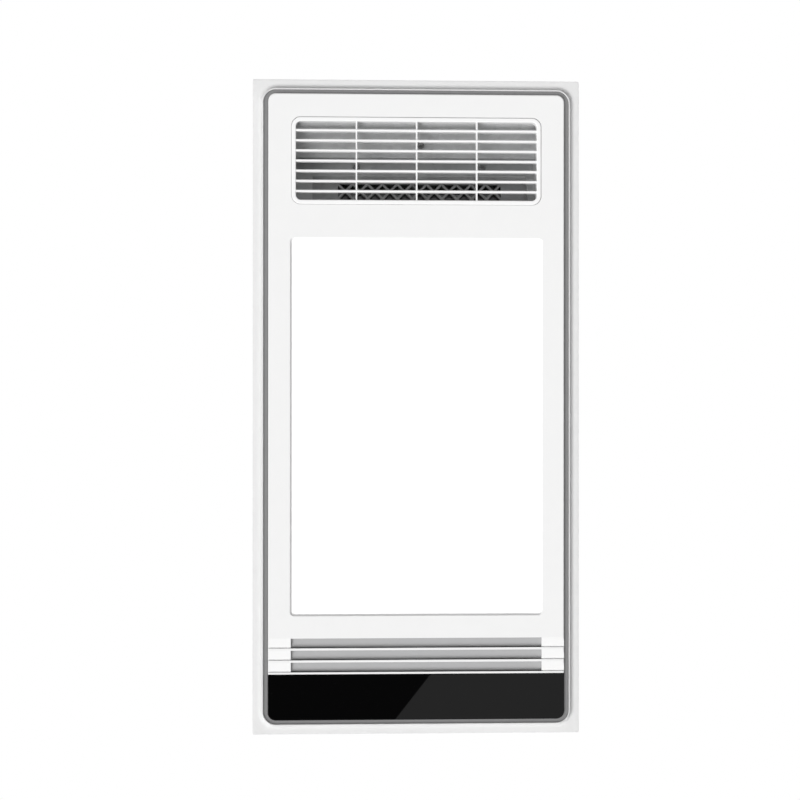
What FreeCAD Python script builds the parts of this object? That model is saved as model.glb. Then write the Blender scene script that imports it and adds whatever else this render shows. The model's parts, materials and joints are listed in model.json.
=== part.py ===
import FreeCAD, Part
import math
import os

# Bathroom ceiling heater for a 300 x 600 mm ceiling module, in millimetres.
# X runs across the panel, Y along it from the warm air outlet to the dark strip,
# and Z up into the ceiling. The origin is the centre of the panel's upper face,
# which bears on the ceiling, so the visible face hangs below Z = 0.

V = FreeCAD.Vector

# Panel frame and trim ring
PANEL_WIDTH = 300.0
PANEL_LENGTH = 600.0
LIP_THICKNESS = 2.5
LIP_CORNER = 1.5
RING_MARGIN = 9.8
RING_WIDTH = 4.2
RING_END_WIDTH = 3.45
RING_RADIUS = 11.4
RING_DROP = 6.4
RING_COVE = 0.9
BEAD_WIDTH = 5.5
BEAD_CREST = 1.3
BEAD_DROP = 7.2
CREST_RISE = 0.5
TRIM_GAP = 0.25
RING_GAP = 0.37

# Face panel
FACE_DROP = 9.0
FACE_WALL = 2.5
FACE_SIDE = 2.0
FACE_EDGE = 1.2
HOOK_COUNT = 4
HOOK_WIDTH = 10.0
HOOK_LEG = 1.6
HOOK_BARB = 1.4
HOOK_RISE = 6.0

# Warm air outlet grille
OUTLET_INSET = 74.9
GRILLE_SIDE = 8.05
GRILLE_LENGTH = 79.8
GRILLE_RADIUS = 8.5
GRILLE_BAND = 4.0
GRILLE_PROUD = 0.3
GRILLE_EDGE = 0.9
GRILLE_SEAT = 4.0
GRILLE_DEPTH = 9.0
TUBE_WALL = 1.6
BAR_COUNT = 7
BAR_PITCH = 9.28
BAR_WIDTH = 2.15
BAR_DEPTH = 8.0
BAR_ROUND = 0.9
POST_COUNT = 3
POST_WIDTH = 1.3
POST_SETBACK = 0.7

# Light
LIGHT_SIDE = 8.1
LIGHT_ABOVE = 31.95
LIGHT_BELOW = 21.8
LIGHT_RADIUS = 2.5
LIGHT_RECESS = 2.0
LIGHT_EDGE = 1.5
DIFFUSER_FLANGE = 1.5
GUIDE_OVERLAP = 1.2
GUIDE_THICKNESS = 3.0
REFLECTOR_THICKNESS = 0.8
CHIP_COUNT = 24
CHIP_DEPTH = 0.7
CHIP_LENGTH = 3.0
CHIP_HEIGHT = 1.8
LED_BAR = 1.4
TRAY_SHEET = 0.8
TRAY_GAP = 0.1
EAR_X = 90.0
EAR_WIDTH = 14.0
EAR_LENGTH = 9.5
BOSS_RADIUS = 3.5
DRIVER_WIDTH = 36.0
DRIVER_LENGTH = 84.0
DRIVER_HEIGHT = 19.0
DRIVER_SIDE = 26.4
DRIVER_INSET = 49.4

# Room air intake
INTAKE_INSET = 88.35
SLAT_COUNT = 3
SLAT_PITCH = 10.97
SLAT_EDGE = 1.95
INTAKE_BLOCK = 20.75
STEP_DEPTH = 1.4
BAFFLE_DEPTH = 4.0
BAFFLE_SHEET = 1.2
BAFFLE_OVERLAP = 3.0
BAFFLE_SLIT = 0.5
BAFFLE_LAP = 0.2
BAFFLE_RIB = 1.2
BAFFLE_SPANS = 4

# Dark strip
STRIP_DROP = 8.0
STRIP_WALL = 2.4
STRIP_EDGE = 0.6

# Housing
HOUSING_SIDE = 21.0
HOUSING_INSET = 21.0
HOUSING_END_INSET = 43.0
HOUSING_HEIGHT = 132.0
CEILING_GAP = 6.0
SHEET = 1.0
SHEET_BEND = 4.0
RIM_WIDTH = 9.0
SKIRT_GAP = 3.5
SKIRT_WALL = 2.0
SKIRT_HEIGHT = 10.0
RIB_WIDTH = 8.0
RIB_HEIGHT = 1.6
RIB_ROUND = 3.6
RIB_EDGE = 1.3
RIB_CLEAR = 2.0
RIB_INSET = 36.0
CLIP_WIDTH = 14.0
CLIP_SHEET = 0.6
CLIP_AHEAD = 37.1
CLIP_BEYOND = 19.1
CLIP_NOSE = 0.6
CLIP_NOSE_RISE = 3.0
CLIP_SLOT = 2.0

# Hangers
HANGER_INSET = 17.0
HANGER_REACH = 19.0
HANGER_HEIGHT = 30.0
HANGER_WIDTH = 24.0
HANGER_SHEET = 2.0
HANGER_HOLE = 4.5
HANGER_HOLE_OUT = 10.5
HANGER_BELOW_TOP = 10.0
HANGER_RIVET_DOWN = 18.0

# Outlet hood and heater
DUCT_SHEET = 0.8
HOOD_GAP = 0.5
HOOD_BEND = 7.1
HOOD_BEND_Z = 25.0
HEATER_TOP_Z = 43.0
HEATER_TILT = 32.0
HEATER_SPAN = 72.0
HEATER_SHIFT = 4.9
WINDOW_SIDE = 7.35
WINDOW_TOP = 20.0
WINDOW_BOTTOM = 66.0
WINDOW_DEPTH = 8.0
WINDOW_RIM = 1.0
WINDOW_RIM_WIDTH = 1.3
GUARD_SHEET = 1.5
GUARD_MARGIN = 8.0
GUARD_TOP = 4.0
CELL_COUNT = 11
LATTICE_MARGIN = 23.8
CELL_HEIGHT = 17.6
CELL_TOP = 22.0
LATTICE_BAR = 2.2
FIN_ROWS = 3
FIN_HEIGHT = 10.0
FIN_PITCH = 5.6
FIN_FOIL = 0.5
TUBE_HEIGHT = 7.0
CORE_DEPTH = 14.0
CORE_BACK_GAP = 1.5
CAP_WIDTH = 15.0
CAP_INSET = 20.0
CAP_GAP = 0.1
TERMINAL_LENGTH = 7.0
TERMINAL_WIDTH = 6.3
TERMINAL_THICKNESS = 0.8
CUTOUT_RADIUS = 6.0
CUTOUT_HEIGHT = 7.0
CUTOUT_SIDE = 33.1
HEATER_SCREW_PITCH = 118.4
HEATER_SCREW_DOWN = 9.5
BEZEL_GAP = 0.25
BEZEL_WALL = 0.9
BEZEL_RISE = 1.1
HOOD_SCREW_SHARE = 0.66
FLANGE_Z = 18.0
FLANGE_TAB = 16.0

# Air duct between the diverter case and the heater
DUCT_WALL = 1.5
DUCT_STRAIGHT = 20.0

# Exhaust and diverter
CASE_WIDTH = 102.0
CASE_MARGIN = 16.5
CASE_BOTTOM = 24.5
CASE_WALL = 1.5
CASE_END = 2.5
EXHAUST_HOLE = 38.0
SEAT_WIDTH = 2.5
SEAT_GAP = 0.3
SEAT_CLEAR = 1.0
FLAP_THICKNESS = 2.4
FLAP_TIP = 2.0
FLAP_SIDE = 6.0
FLAP_LAP = 3.0
FLAP_END_GAP = 1.5
FLAP_SWING_GAP = 0.4
HINGE_INSET = 4.5
FLAP_SHAFT = 4.0
RUNNING_GAP = 0.06
FLAP_MOTOR_RADIUS = 18.0
FLAP_MOTOR_HEIGHT = 13.0
FLAP_MOTOR_EAR = 22.0
FLAP_SHAFT_GRIP = 6.0

# Exhaust spigot and backdraft flap
SPIGOT_BORE = 46.0
SPIGOT_WALL = 2.5
SPIGOT_LENGTH = 54.0
SPIGOT_FLANGE = 106.0
SPIGOT_FLANGE_SHEET = 2.5
SPIGOT_END = 1.0
GASKET = 1.5
SPIGOT_SCREW_PITCH = 92.0
BACKDRAFT_OUT = 13.0
BACKDRAFT_RADIUS = 44.5
BACKDRAFT_SHEET = 1.2
BACKDRAFT_RAISE = 7.0
BACKDRAFT_BARREL = 3.2
BACKDRAFT_PIN = 1.5
BACKDRAFT_STOP = 2.5

# Fan
SCROLL_GAP = 0.4
EXIT_SIDE = 4.0
EXIT_TONGUE = 9.0
FAN_SIDE = 54.0
BLADE_DEPTH = 13.0
WHEEL_BOTTOM = 37.5
WHEEL_HEIGHT = 56.0
WHEEL_PLATE = 1.5
BLADE_COUNT = 36
BLADE_SHEET = 1.2
BLADE_LEAN = 11.0
BLADE_BOW = 3.1
HUB_RADIUS = 13.0
HUB_TOP_RADIUS = 20.8
HUB_HEIGHT = 22.0
SHAFT_RADIUS = 4.0
SHAFT_BELOW = 9.0
HUB_GAP = 0.02
NUT_RADIUS = 7.0
NUT_HEIGHT = 6.0
SCROLL_BOTTOM = 31.5
SCROLL_HEIGHT = 66.0
SCROLL_WALL = 1.5
SCROLL_TONGUE = 8.0
SCROLL_SPREAD = 36.0
SCROLL_ANGLE = 300.0
SCROLL_STEPS = 20
INLET_INSET = 5.0
INLET_LIP = 4.0
MOTOR_RADIUS = 48.0
MOTOR_HEIGHT = 31.0
MOTOR_BOSS = 26.0
MOTOR_BOSS_GAP = 2.0
MOTOR_EAR_RADIUS = 58.0
MOTOR_ARM = 4.2
MOTOR_EDGE = 4.5
BUSH_RADIUS = 7.0
BUSH_HEIGHT = 2.5
POST_RADIUS = 6.0
POST_BEYOND = 4.0

# Control box on the end wall
CONTROL_WIDTH = 140.0
CONTROL_HEIGHT = 80.0
CONTROL_DEPTH = 26.0
CONTROL_X = -25.0
CONTROL_Z = 62.0
CONTROL_WALL = 1.6
COVER_SHEET = 1.0
COVER_LIP = 3.0
COVER_GAP = 0.3
BOARD_THICKNESS = 1.6
BOARD_STANDOFF = 5.0
BOARD_WIDTH = 96.0
BOARD_HEIGHT = 62.0
RELAY_COUNT = 3
RELAY_PITCH = 24.0
RELAY_WIDTH = 19.0
RELAY_HEIGHT = 15.5
RELAY_DEPTH = 15.0
CAPACITOR_WIDTH = 46.0
CAPACITOR_HEIGHT = 22.0
CAPACITOR_DEPTH = 14.0
TERMINAL_BLOCK_WIDTH = 22.0
TERMINAL_BLOCK_HEIGHT = 56.0
TERMINAL_BLOCK_DEPTH = 15.0
TERMINAL_WAYS = 5
TERMINAL_WELL = 3.0
GROMMET_BORE = 4.5
GROMMET_RADIUS = 9.0
GROMMET_NECK = 7.0
GROMMET_LENGTH = 8.0
WIRE_HOLE = 9.0

# Screws
SCREW_RADIUS = 1.5
SCREW_HEAD = 3.4
SCREW_CROWN = 2.55
SCREW_HEAD_HEIGHT = 2.0
SCREW_CROSS = 4.0
SCREW_CROSS_WIDTH = 0.9
SCREW_CROSS_DEPTH = 1.2
SCREW_LENGTH = 7.0
SCREW_GAP = 0.1

# Derived places
HALF_WIDTH = PANEL_WIDTH / 2
HALF_LENGTH = PANEL_LENGTH / 2
OUTLET_Y = OUTLET_INSET - HALF_LENGTH
INTAKE_START = HALF_LENGTH - INTAKE_INSET
HOUSING_WIDTH = PANEL_WIDTH - 2 * HOUSING_SIDE
HOUSING_START = HOUSING_INSET - HALF_LENGTH
HOUSING_END = HALF_LENGTH - HOUSING_END_INSET
LIGHT_START = OUTLET_Y + GRILLE_LENGTH / 2 + LIGHT_ABOVE
LIGHT_END = INTAKE_START - LIGHT_BELOW
DRIVER_Y = LIGHT_END - DRIVER_INSET
RING_X = HALF_WIDTH - RING_MARGIN
RING_Y = HALF_LENGTH - RING_MARGIN
FACE_X = RING_X - RING_WIDTH - TRIM_GAP
FACE_Y = RING_Y - RING_END_WIDTH - TRIM_GAP
FACE_RADIUS = RING_RADIUS - RING_WIDTH - TRIM_GAP
INTAKE_END = INTAKE_START + SLAT_COUNT * SLAT_PITCH
INTAKE_OPENING = 2 * (FACE_X - INTAKE_BLOCK)
FACE_BACK = FACE_WALL - FACE_DROP
INNER_X = HOUSING_WIDTH / 2 - SHEET
INNER_Y = (HOUSING_START + SHEET, HOUSING_END - SHEET)
HOUSING_TOP = CEILING_GAP + HOUSING_HEIGHT
INNER_TOP = HOUSING_TOP - SHEET
SKIRT_OUT = SKIRT_GAP + SKIRT_WALL
WINDOW_X = INNER_X - SKIRT_OUT
WINDOW_Y = (INNER_Y[0] + SKIRT_OUT, INNER_Y[1] - SKIRT_OUT)
GRILLE_WIDTH = 2 * (WINDOW_X - GRILLE_SIDE)
LIGHT_WIDTH = 2 * (WINDOW_X - LIGHT_SIDE)
DRIVER_X = DRIVER_SIDE - LIGHT_WIDTH / 2
HANGER_PITCH = HOUSING_WIDTH - 2 * HANGER_INSET
OPENING_X = GRILLE_WIDTH / 2 - GRILLE_BAND
OPENING_Y = GRILLE_LENGTH / 2 - GRILLE_BAND
GUIDE_TOP = FACE_BACK + DIFFUSER_FLANGE + GUIDE_THICKNESS
TRAY_BOTTOM = GUIDE_TOP + REFLECTOR_THICKNESS
TRAY_TOP = TRAY_BOTTOM + TRAY_SHEET
GUIDE_X = LIGHT_WIDTH / 2 + GUIDE_OVERLAP
LED_INNER = GUIDE_X + TRAY_GAP + CHIP_DEPTH
TRAY_X = LED_INNER + LED_BAR + TRAY_GAP + TRAY_SHEET
TRAY_BEYOND = TRAY_X - LIGHT_WIDTH / 2
HOOD_X = OPENING_X + TUBE_WALL + HOOD_GAP
HOOD_BEND_Y = OUTLET_Y - HOOD_BEND
WINDOW_WIDTH = 2 * (HOOD_X - HEATER_SHIFT - WINDOW_SIDE)
CELL_WIDTH = (WINDOW_WIDTH - 2 * LATTICE_MARGIN) / CELL_COUNT
HOOD_Z = GRILLE_DEPTH - FACE_DROP + HOOD_GAP
HOOD_REACH = OPENING_Y + TUBE_WALL + HOOD_GAP
HOOD_Y = (OUTLET_Y - HOOD_REACH, OUTLET_Y + HOOD_REACH)
CUTOUT_X = HEATER_SHIFT + CUTOUT_SIDE - WINDOW_WIDTH / 2
GUARD_FRONT = WINDOW_DEPTH
GUARD_BACK = GUARD_FRONT + GUARD_SHEET
CORE_FRONT = GUARD_BACK + CORE_BACK_GAP
CORE_X = CELL_COUNT * CELL_WIDTH / 2
FLAP_LENGTH = FLAP_SHAFT + SEAT_CLEAR + 2 * (EXHAUST_HOLE + SEAT_WIDTH) + FLAP_TIP
FLAP_WIDTH = CASE_WIDTH - 2 * FLAP_SIDE
EXIT_WIDTH = FLAP_WIDTH - 2 * FLAP_LAP
CASE_LENGTH = HINGE_INSET + FLAP_LENGTH + FLAP_END_GAP
HINGE_DROP = SEAT_WIDTH - SEAT_GAP + FLAP_THICKNESS
CASE_HEIGHT = HINGE_DROP + FLAP_LENGTH + FLAP_SWING_GAP
CASE_SIDE = INNER_X - CASE_MARGIN
CASE_X = (CASE_SIDE - CASE_WALL - CASE_WIDTH, CASE_SIDE - CASE_WALL)
CASE_Y = (CASE_END - CASE_WALL - CASE_LENGTH, CASE_END - CASE_WALL)
CASE_Z = (CASE_BOTTOM, CASE_BOTTOM + CASE_HEIGHT)
CASE_TOP = CASE_Z[1] + CASE_WALL
HINGE_Y = CASE_Y[0] + HINGE_INSET
HINGE_Z = CASE_Z[1] - HINGE_DROP
EXHAUST_X = (CASE_X[0] + CASE_X[1]) / 2
EXHAUST_Y = HINGE_Y + FLAP_SHAFT + SEAT_CLEAR + SEAT_WIDTH + EXHAUST_HOLE
RIB_X = EXHAUST_X + SPIGOT_FLANGE / 2 + RIB_CLEAR + RIB_WIDTH / 2
WHEEL_RADIUS = INNER_X - FAN_SIDE
WHEEL_INNER = WHEEL_RADIUS - BLADE_DEPTH
INLET_RADIUS = WHEEL_INNER - INLET_INSET
POST_CIRCLE = WHEEL_RADIUS + POST_BEYOND
SCROLL_START = WHEEL_RADIUS + SCROLL_TONGUE
SCROLL_END = SCROLL_START + SCROLL_SPREAD
FAN_X = CASE_X[1] - EXIT_SIDE - SCROLL_END
WALL_X = HOUSING_WIDTH / 2
SPIGOT_Z = HOUSING_TOP + GASKET
BACKDRAFT_Y = EXHAUST_Y + BACKDRAFT_RAISE
BACKDRAFT_Z = HOUSING_TOP + BACKDRAFT_OUT
SCROLL_FLOOR = SCROLL_BOTTOM + SCROLL_WALL
SCROLL_TOP = SCROLL_FLOOR + SCROLL_HEIGHT
COVER_TOP = SCROLL_TOP + SCROLL_WALL
WHEEL_TOP = WHEEL_BOTTOM + WHEEL_HEIGHT
MOTOR_BOTTOM = COVER_TOP + BUSH_HEIGHT
CONTROL_BACK = HOUSING_END
CONTROL_FRONT = CONTROL_BACK + CONTROL_DEPTH
BOARD_BACK = CONTROL_BACK + CONTROL_WALL + BOARD_STANDOFF
BOARD_FRONT = BOARD_BACK + BOARD_THICKNESS
AXIS_X = V(1, 0, 0)
AXIS_Y = V(0, 1, 0)
AXIS_Z = V(0, 0, 1)


# Shapes that the pieces are made from

def about(centre, half):
    return (centre - half, centre + half)


def box(x, y, z):
    return Part.makeBox(x[1] - x[0], y[1] - y[0], z[1] - z[0], V(x[0], y[0], z[0]))


def rounded_wire(x, y, radius, z):
    # Closed outline that starts halfway along its high X side.
    corners = [(x[1], y[1], 0), (x[0], y[1], 90), (x[0], y[0], 180), (x[1], y[0], 270)]
    start = V(x[1], (y[0] + y[1]) / 2, z)
    edges = []
    last = start
    for corner_x, corner_y, angle in corners:
        centre_x = corner_x - math.copysign(radius, corner_x - (x[0] + x[1]) / 2)
        centre_y = corner_y - math.copysign(radius, corner_y - (y[0] + y[1]) / 2)
        points = []
        for turn in (angle, angle + 45, angle + 90):
            bearing = math.radians(turn)
            x_reach = radius * math.cos(bearing)
            points.append(V(centre_x + x_reach, centre_y + radius * math.sin(bearing), z))
        edges.append(Part.LineSegment(last, points[0]).toShape())
        edges.append(Part.Arc(*points).toShape())
        last = points[2]
    edges.append(Part.LineSegment(last, start).toShape())
    return Part.Wire(edges)


def rounded_plate(x, y, radius, z):
    return Part.Face(rounded_wire(x, y, radius, z[0])).extrude(V(0, 0, z[1] - z[0]))


def cylinder(radius, start, end):
    way = end - start
    return Part.makeCylinder(radius, way.Length, start, way)


def upright(radius, x, y, z):
    return cylinder(radius, V(x, y, z[0]), V(x, y, z[1]))


def prism(points, way):
    return Part.Face(Part.makePolygon(points + points[:1])).extrude(way)


def prism_x(points, x):
    return prism([V(x[0], y, z) for y, z in points], V(x[1] - x[0], 0, 0))


def prism_y(points, y):
    return prism([V(x, y[0], z) for x, z in points], V(0, y[1] - y[0], 0))


def swept_frame(edges):
    # Sweeps a closed section, drawn at the high X side, round the trim ring's outer outline.
    path = rounded_wire((-RING_X, RING_X), (-RING_Y, RING_Y), RING_RADIUS, 0)
    return path.makePipeShell([Part.Wire(edges)], True, False)


def line(start, end):
    return Part.LineSegment(start, end).toShape()


def arc(start, middle, end):
    return Part.Arc(start, middle, end).toShape()


def round_edges(solid, radius, chosen):
    return solid.makeFillet(radius, [edge for edge in solid.Edges if chosen(edge)])


def level_at(edge, z):
    return all(abs(vertex.Z - z) < 1e-6 for vertex in edge.Vertexes) and edge.BoundBox.ZLength < 1e-6


def group(solids):
    return Part.makeCompound(solids)


def fused(solids):
    return solids[0].multiFuse(solids[1:]).removeSplitter()


def cut_all(solid, cutters):
    return solid.cut(Part.makeCompound(cutters)) if cutters else solid


def along(shape, point, way):
    # Moves a shape that is drawn at the origin, with its shank pointing down.
    shape.Placement = FreeCAD.Placement(point, FreeCAD.Rotation(V(0, 0, -1), V(way)))
    return shape


def pan_head(length):
    head = Part.makeCone(SCREW_HEAD, SCREW_CROWN, SCREW_HEAD_HEIGHT)
    return head.fuse(cylinder(SCREW_RADIUS, V(0, 0, 0), V(0, 0, -length)))


def rivet(point, way, length):
    return along(pan_head(length), point, way)


def screw(point, way, length=SCREW_LENGTH):
    # A cross recessed head on a surface at point, with its shank running along way.
    floor = (SCREW_HEAD_HEIGHT - SCREW_CROSS_DEPTH, SCREW_HEAD_HEIGHT)
    reach = about(0, SCREW_CROSS / 2)
    narrow = about(0, SCREW_CROSS_WIDTH / 2)
    cross = box(reach, narrow, floor).fuse(box(narrow, reach, floor))
    return along(pan_head(length).cut(cross), point, way)


def bezel(point, way):
    # Pressed rim round a screw head, standing on the same surface.
    inner = SCREW_HEAD + BEZEL_GAP
    rim = Part.makeCylinder(inner + BEZEL_WALL, BEZEL_RISE).cut(Part.makeCylinder(inner, BEZEL_RISE))
    return along(rim, point, way)


def screw_hole(point, way, length=SCREW_LENGTH):
    way = V(way).normalize()
    return cylinder(SCREW_RADIUS + SCREW_GAP, point - way * SCREW_LENGTH, point + way * (length + SCREW_GAP))


def in_heater(shape):
    # Heater pieces are drawn with Y down their slope and Z through their depth.
    turn = FreeCAD.Rotation(AXIS_X, -HEATER_TILT)
    placed = shape.copy()
    placed.Placement = FreeCAD.Placement(V(0, HOOD_BEND_Y, HEATER_TOP_Z), turn).multiply(placed.Placement)
    return placed


def heater_point(x, down, depth):
    turn = FreeCAD.Rotation(AXIS_X, -HEATER_TILT)
    return turn.multVec(V(x, down, depth)) + V(0, HOOD_BEND_Y, HEATER_TOP_Z)


# Fan's spiral, from the outlet's far side round to the tongue

def scroll_radius(turn):
    return SCROLL_END - SCROLL_SPREAD * turn / SCROLL_ANGLE


def scroll_point(turn, grow):
    bearing = math.radians(turn)
    radius = scroll_radius(turn) + grow
    return V(FAN_X + radius * math.cos(bearing), FAN_Y + radius * math.sin(bearing), 0)


FAN_Y = CASE_END + scroll_radius(270) + SCROLL_WALL + SCROLL_GAP


# Places of the screws, shared by the screws and by the pieces they pass through

def light_screw_points():
    rows = (LIGHT_START - TRAY_BEYOND - EAR_LENGTH / 2, LIGHT_END + TRAY_BEYOND + EAR_LENGTH / 2)
    return [V(x, y, TRAY_TOP) for x in (-EAR_X, EAR_X) for y in rows]


def hood_slope():
    # Outward direction and foot of the sloping deflector inside the hood.
    foot = V(HEATER_SHIFT, HOOD_Y[0], HOOD_Z)
    return foot, V(HEATER_SHIFT, HOOD_BEND_Y, HOOD_BEND_Z) - foot


def hood_screw():
    foot, slope = hood_slope()
    return foot + slope * HOOD_SCREW_SHARE, V(0, -slope.z, slope.y)


def heater_screw_points():
    return [V(x, HEATER_SCREW_DOWN, 0) for x in about(HEATER_SHIFT, HEATER_SCREW_PITCH / 2)]


def flange_screw_points():
    z = FLANGE_Z + FLANGE_TAB / 2
    return [V(x, HOUSING_START, z) for x in about(0, HOOD_X / 2)]


def post_points():
    points = []
    for quarter in range(4):
        bearing = math.radians(45 + 90 * quarter)
        points.append(V(FAN_X + POST_CIRCLE * math.cos(bearing), FAN_Y + POST_CIRCLE * math.sin(bearing), 0))
    return points


def motor_ear_points():
    points = []
    for quarter in range(4):
        bearing = math.radians(90 * quarter)
        reach = MOTOR_EAR_RADIUS
        points.append(V(FAN_X + reach * math.cos(bearing), FAN_Y + reach * math.sin(bearing), 0))
    return points


def flap_motor_points(x):
    return [V(x, HINGE_Y + FLAP_MOTOR_EAR, HINGE_Z), V(x, HINGE_Y, HINGE_Z - FLAP_MOTOR_EAR)]


def spigot_screw_points():
    half = SPIGOT_SCREW_PITCH / 2
    return [V(x, y, SPIGOT_Z + SPIGOT_FLANGE_SHEET)
            for x in about(EXHAUST_X, half) for y in about(EXHAUST_Y, half)]


def cover_screw_points():
    inset = CONTROL_WALL + SCREW_HEAD + COVER_GAP
    y = CONTROL_FRONT + COVER_SHEET
    low, high = about(CONTROL_Z, CONTROL_HEIGHT / 2 - inset)
    left, right = about(CONTROL_X, CONTROL_WIDTH / 2 - inset)
    return [V(left, y, high), V(right, y, low)]


def hanger_places():
    walls = ((-1, HOUSING_START), (1, HOUSING_END))
    return [(side, wall, x) for side, wall in walls for x in about(0, HANGER_PITCH / 2)]


def hanger_rivet_points():
    z = HOUSING_TOP - HANGER_BELOW_TOP - HANGER_RIVET_DOWN
    points = []
    for side, wall, middle in hanger_places():
        for x in about(middle, HANGER_WIDTH / 4):
            points.append((V(x, wall + side * HANGER_SHEET, z), V(0, -side, 0)))
    return points


def hook_rows():
    pitch = (WINDOW_Y[1] - WINDOW_Y[0]) / (HOOK_COUNT + 1)
    return [WINDOW_Y[0] + pitch * (step + 1) for step in range(HOOK_COUNT)]


def clip_places():
    hooks = hook_rows()
    rows = (hooks[0] - CLIP_AHEAD, hooks[-1] + CLIP_BEYOND)
    return [(side, y) for side in (-1, 1) for y in rows]


def hook_places():
    rows = hook_rows() + [(INTAKE_START + INTAKE_END) / 2]
    return [(side, y) for side in (-1, 1) for y in rows]


def snap_hooks():
    inner = WINDOW_X - TRIM_GAP - HOOK_LEG
    outer = inner + HOOK_LEG
    catch = HOOK_RISE / 2 + TRIM_GAP
    outline = [(inner, FACE_BACK), (outer, FACE_BACK), (outer, catch), (outer + HOOK_BARB, catch),
               (outer, HOOK_RISE), (inner, HOOK_RISE)]
    hooks = []
    for side, y in hook_places():
        hooks.append(prism_y([(side * x, z) for x, z in outline], about(y, HOOK_WIDTH / 2)))
    return hooks


# Panel pieces

def panel_frame():
    crest = CREST_RISE - BEAD_DROP
    cove = math.sqrt(0.5)
    outer = RING_X + BEAD_WIDTH
    points = [V(RING_X, 0, -LIP_THICKNESS), V(RING_X, 0, crest), V(RING_X + BEAD_CREST, 0, crest),
              V(outer, 0, -LIP_THICKNESS)]
    crest_top = V(RING_X + BEAD_CREST / 2, 0, -BEAD_DROP)
    cove_middle = V(outer - cove * (BEAD_WIDTH - BEAD_CREST), 0, crest + cove * (-LIP_THICKNESS - crest))
    bead = swept_frame([line(points[0], points[1]), arc(points[1], crest_top, points[2]),
                        arc(points[2], cove_middle, points[3]), line(points[3], points[0])])
    lip = rounded_plate((-HALF_WIDTH, HALF_WIDTH), (-HALF_LENGTH, HALF_LENGTH), LIP_CORNER,
                        (-LIP_THICKNESS, 0))
    inside = (SHEET_BEND, (-LIP_THICKNESS, SKIRT_HEIGHT))
    opening = rounded_plate((-WINDOW_X, WINDOW_X), WINDOW_Y, *inside)
    wall = SKIRT_WALL
    skirt = rounded_plate((-WINDOW_X - wall, WINDOW_X + wall), (WINDOW_Y[0] - wall, WINDOW_Y[1] + wall),
                          SHEET_BEND + wall, (-LIP_THICKNESS, SKIRT_HEIGHT))
    frame = fused([lip, bead, skirt]).cut(opening)
    slots = []
    for side, y in hook_places():
        x = sorted((side * (WINDOW_X - wall), side * (WINDOW_X + 2 * wall)))
        slots.append(box(x, about(y, HOOK_WIDTH / 2 + TRIM_GAP), (HOOK_RISE / 2, HOOK_RISE + TRIM_GAP)))
    return cut_all(frame, slots)


def trim_ring():
    # Its end runs are narrower than its side runs, to the outline of the face.
    outer = RING_X - TRIM_GAP / 2
    inner = RING_X - RING_WIDTH
    middle = V((outer + inner) / 2, 0, RING_COVE - RING_DROP)
    points = [V(outer, 0, -LIP_THICKNESS), V(outer, 0, -RING_DROP), V(inner, 0, -RING_DROP),
              V(inner, 0, -LIP_THICKNESS)]
    ring = swept_frame([line(points[0], points[1]), arc(points[1], middle, points[2]),
                        line(points[2], points[3]), line(points[3], points[0])])
    return ring.cut(rounded_plate(about(0, FACE_X + RING_GAP), about(0, FACE_Y + RING_GAP),
                                  FACE_RADIUS + RING_GAP, (-FACE_DROP, 0)))


def face_tray(drop, wall, edge):
    # Shallow moulding with the outline of the whole face, open towards the frame.
    shell = rounded_plate((-FACE_X, FACE_X), (-FACE_Y, FACE_Y), FACE_RADIUS, (-drop, -LIP_THICKNESS))
    shell = round_edges(shell, edge, lambda item: level_at(item, -drop))
    side = FACE_SIDE
    hollow = rounded_plate((side - FACE_X, FACE_X - side), (side - FACE_Y, FACE_Y - side),
                           FACE_RADIUS - side, (wall - drop, -LIP_THICKNESS))
    return shell, hollow


def face_panel():
    shell, hollow = face_tray(FACE_DROP, FACE_WALL, FACE_EDGE)
    panel = shell.cut(hollow)
    seat_z = GRILLE_SEAT - FACE_DROP
    pocket_x = GRILLE_WIDTH / 2 + TRIM_GAP
    pocket_y = GRILLE_LENGTH / 2 + TRIM_GAP
    wall = FACE_SIDE
    rim = rounded_plate((-pocket_x - wall, pocket_x + wall), about(OUTLET_Y, pocket_y + wall),
                        GRILLE_RADIUS + wall, (FACE_BACK, seat_z + wall))
    bosses = []
    for point in light_screw_points():
        bosses.append(upright(BOSS_RADIUS, point.x, point.y, (FACE_BACK, TRAY_BOTTOM)))
    panel = fused([panel, rim] + bosses + snap_hooks())
    panel = panel.cut(slat_slopes())
    deep = (-FACE_DROP - wall, SKIRT_HEIGHT)
    inset = GRILLE_BAND - TUBE_WALL
    cutters = [
        rounded_plate((-pocket_x, pocket_x), about(OUTLET_Y, pocket_y), GRILLE_RADIUS, (deep[0], seat_z)),
        rounded_plate((inset - pocket_x, pocket_x - inset), about(OUTLET_Y, pocket_y - inset),
                      GRILLE_RADIUS - inset, deep),
        light_plate(0, LIGHT_RADIUS, (deep[0], FACE_BACK)),
        light_bevel(),
        box((-PANEL_WIDTH, PANEL_WIDTH), (INTAKE_END - TRIM_GAP, PANEL_LENGTH), deep),
    ]
    half = INTAKE_OPENING / 2
    for y in intake_slots():
        cutters.append(box((-half, half), y, deep))
    depth = TRAY_TOP - FACE_BACK - SCREW_GAP
    cutters += [screw_hole(point, -AXIS_Z, depth) for point in light_screw_points()]
    return cut_all(panel, cutters)


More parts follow.
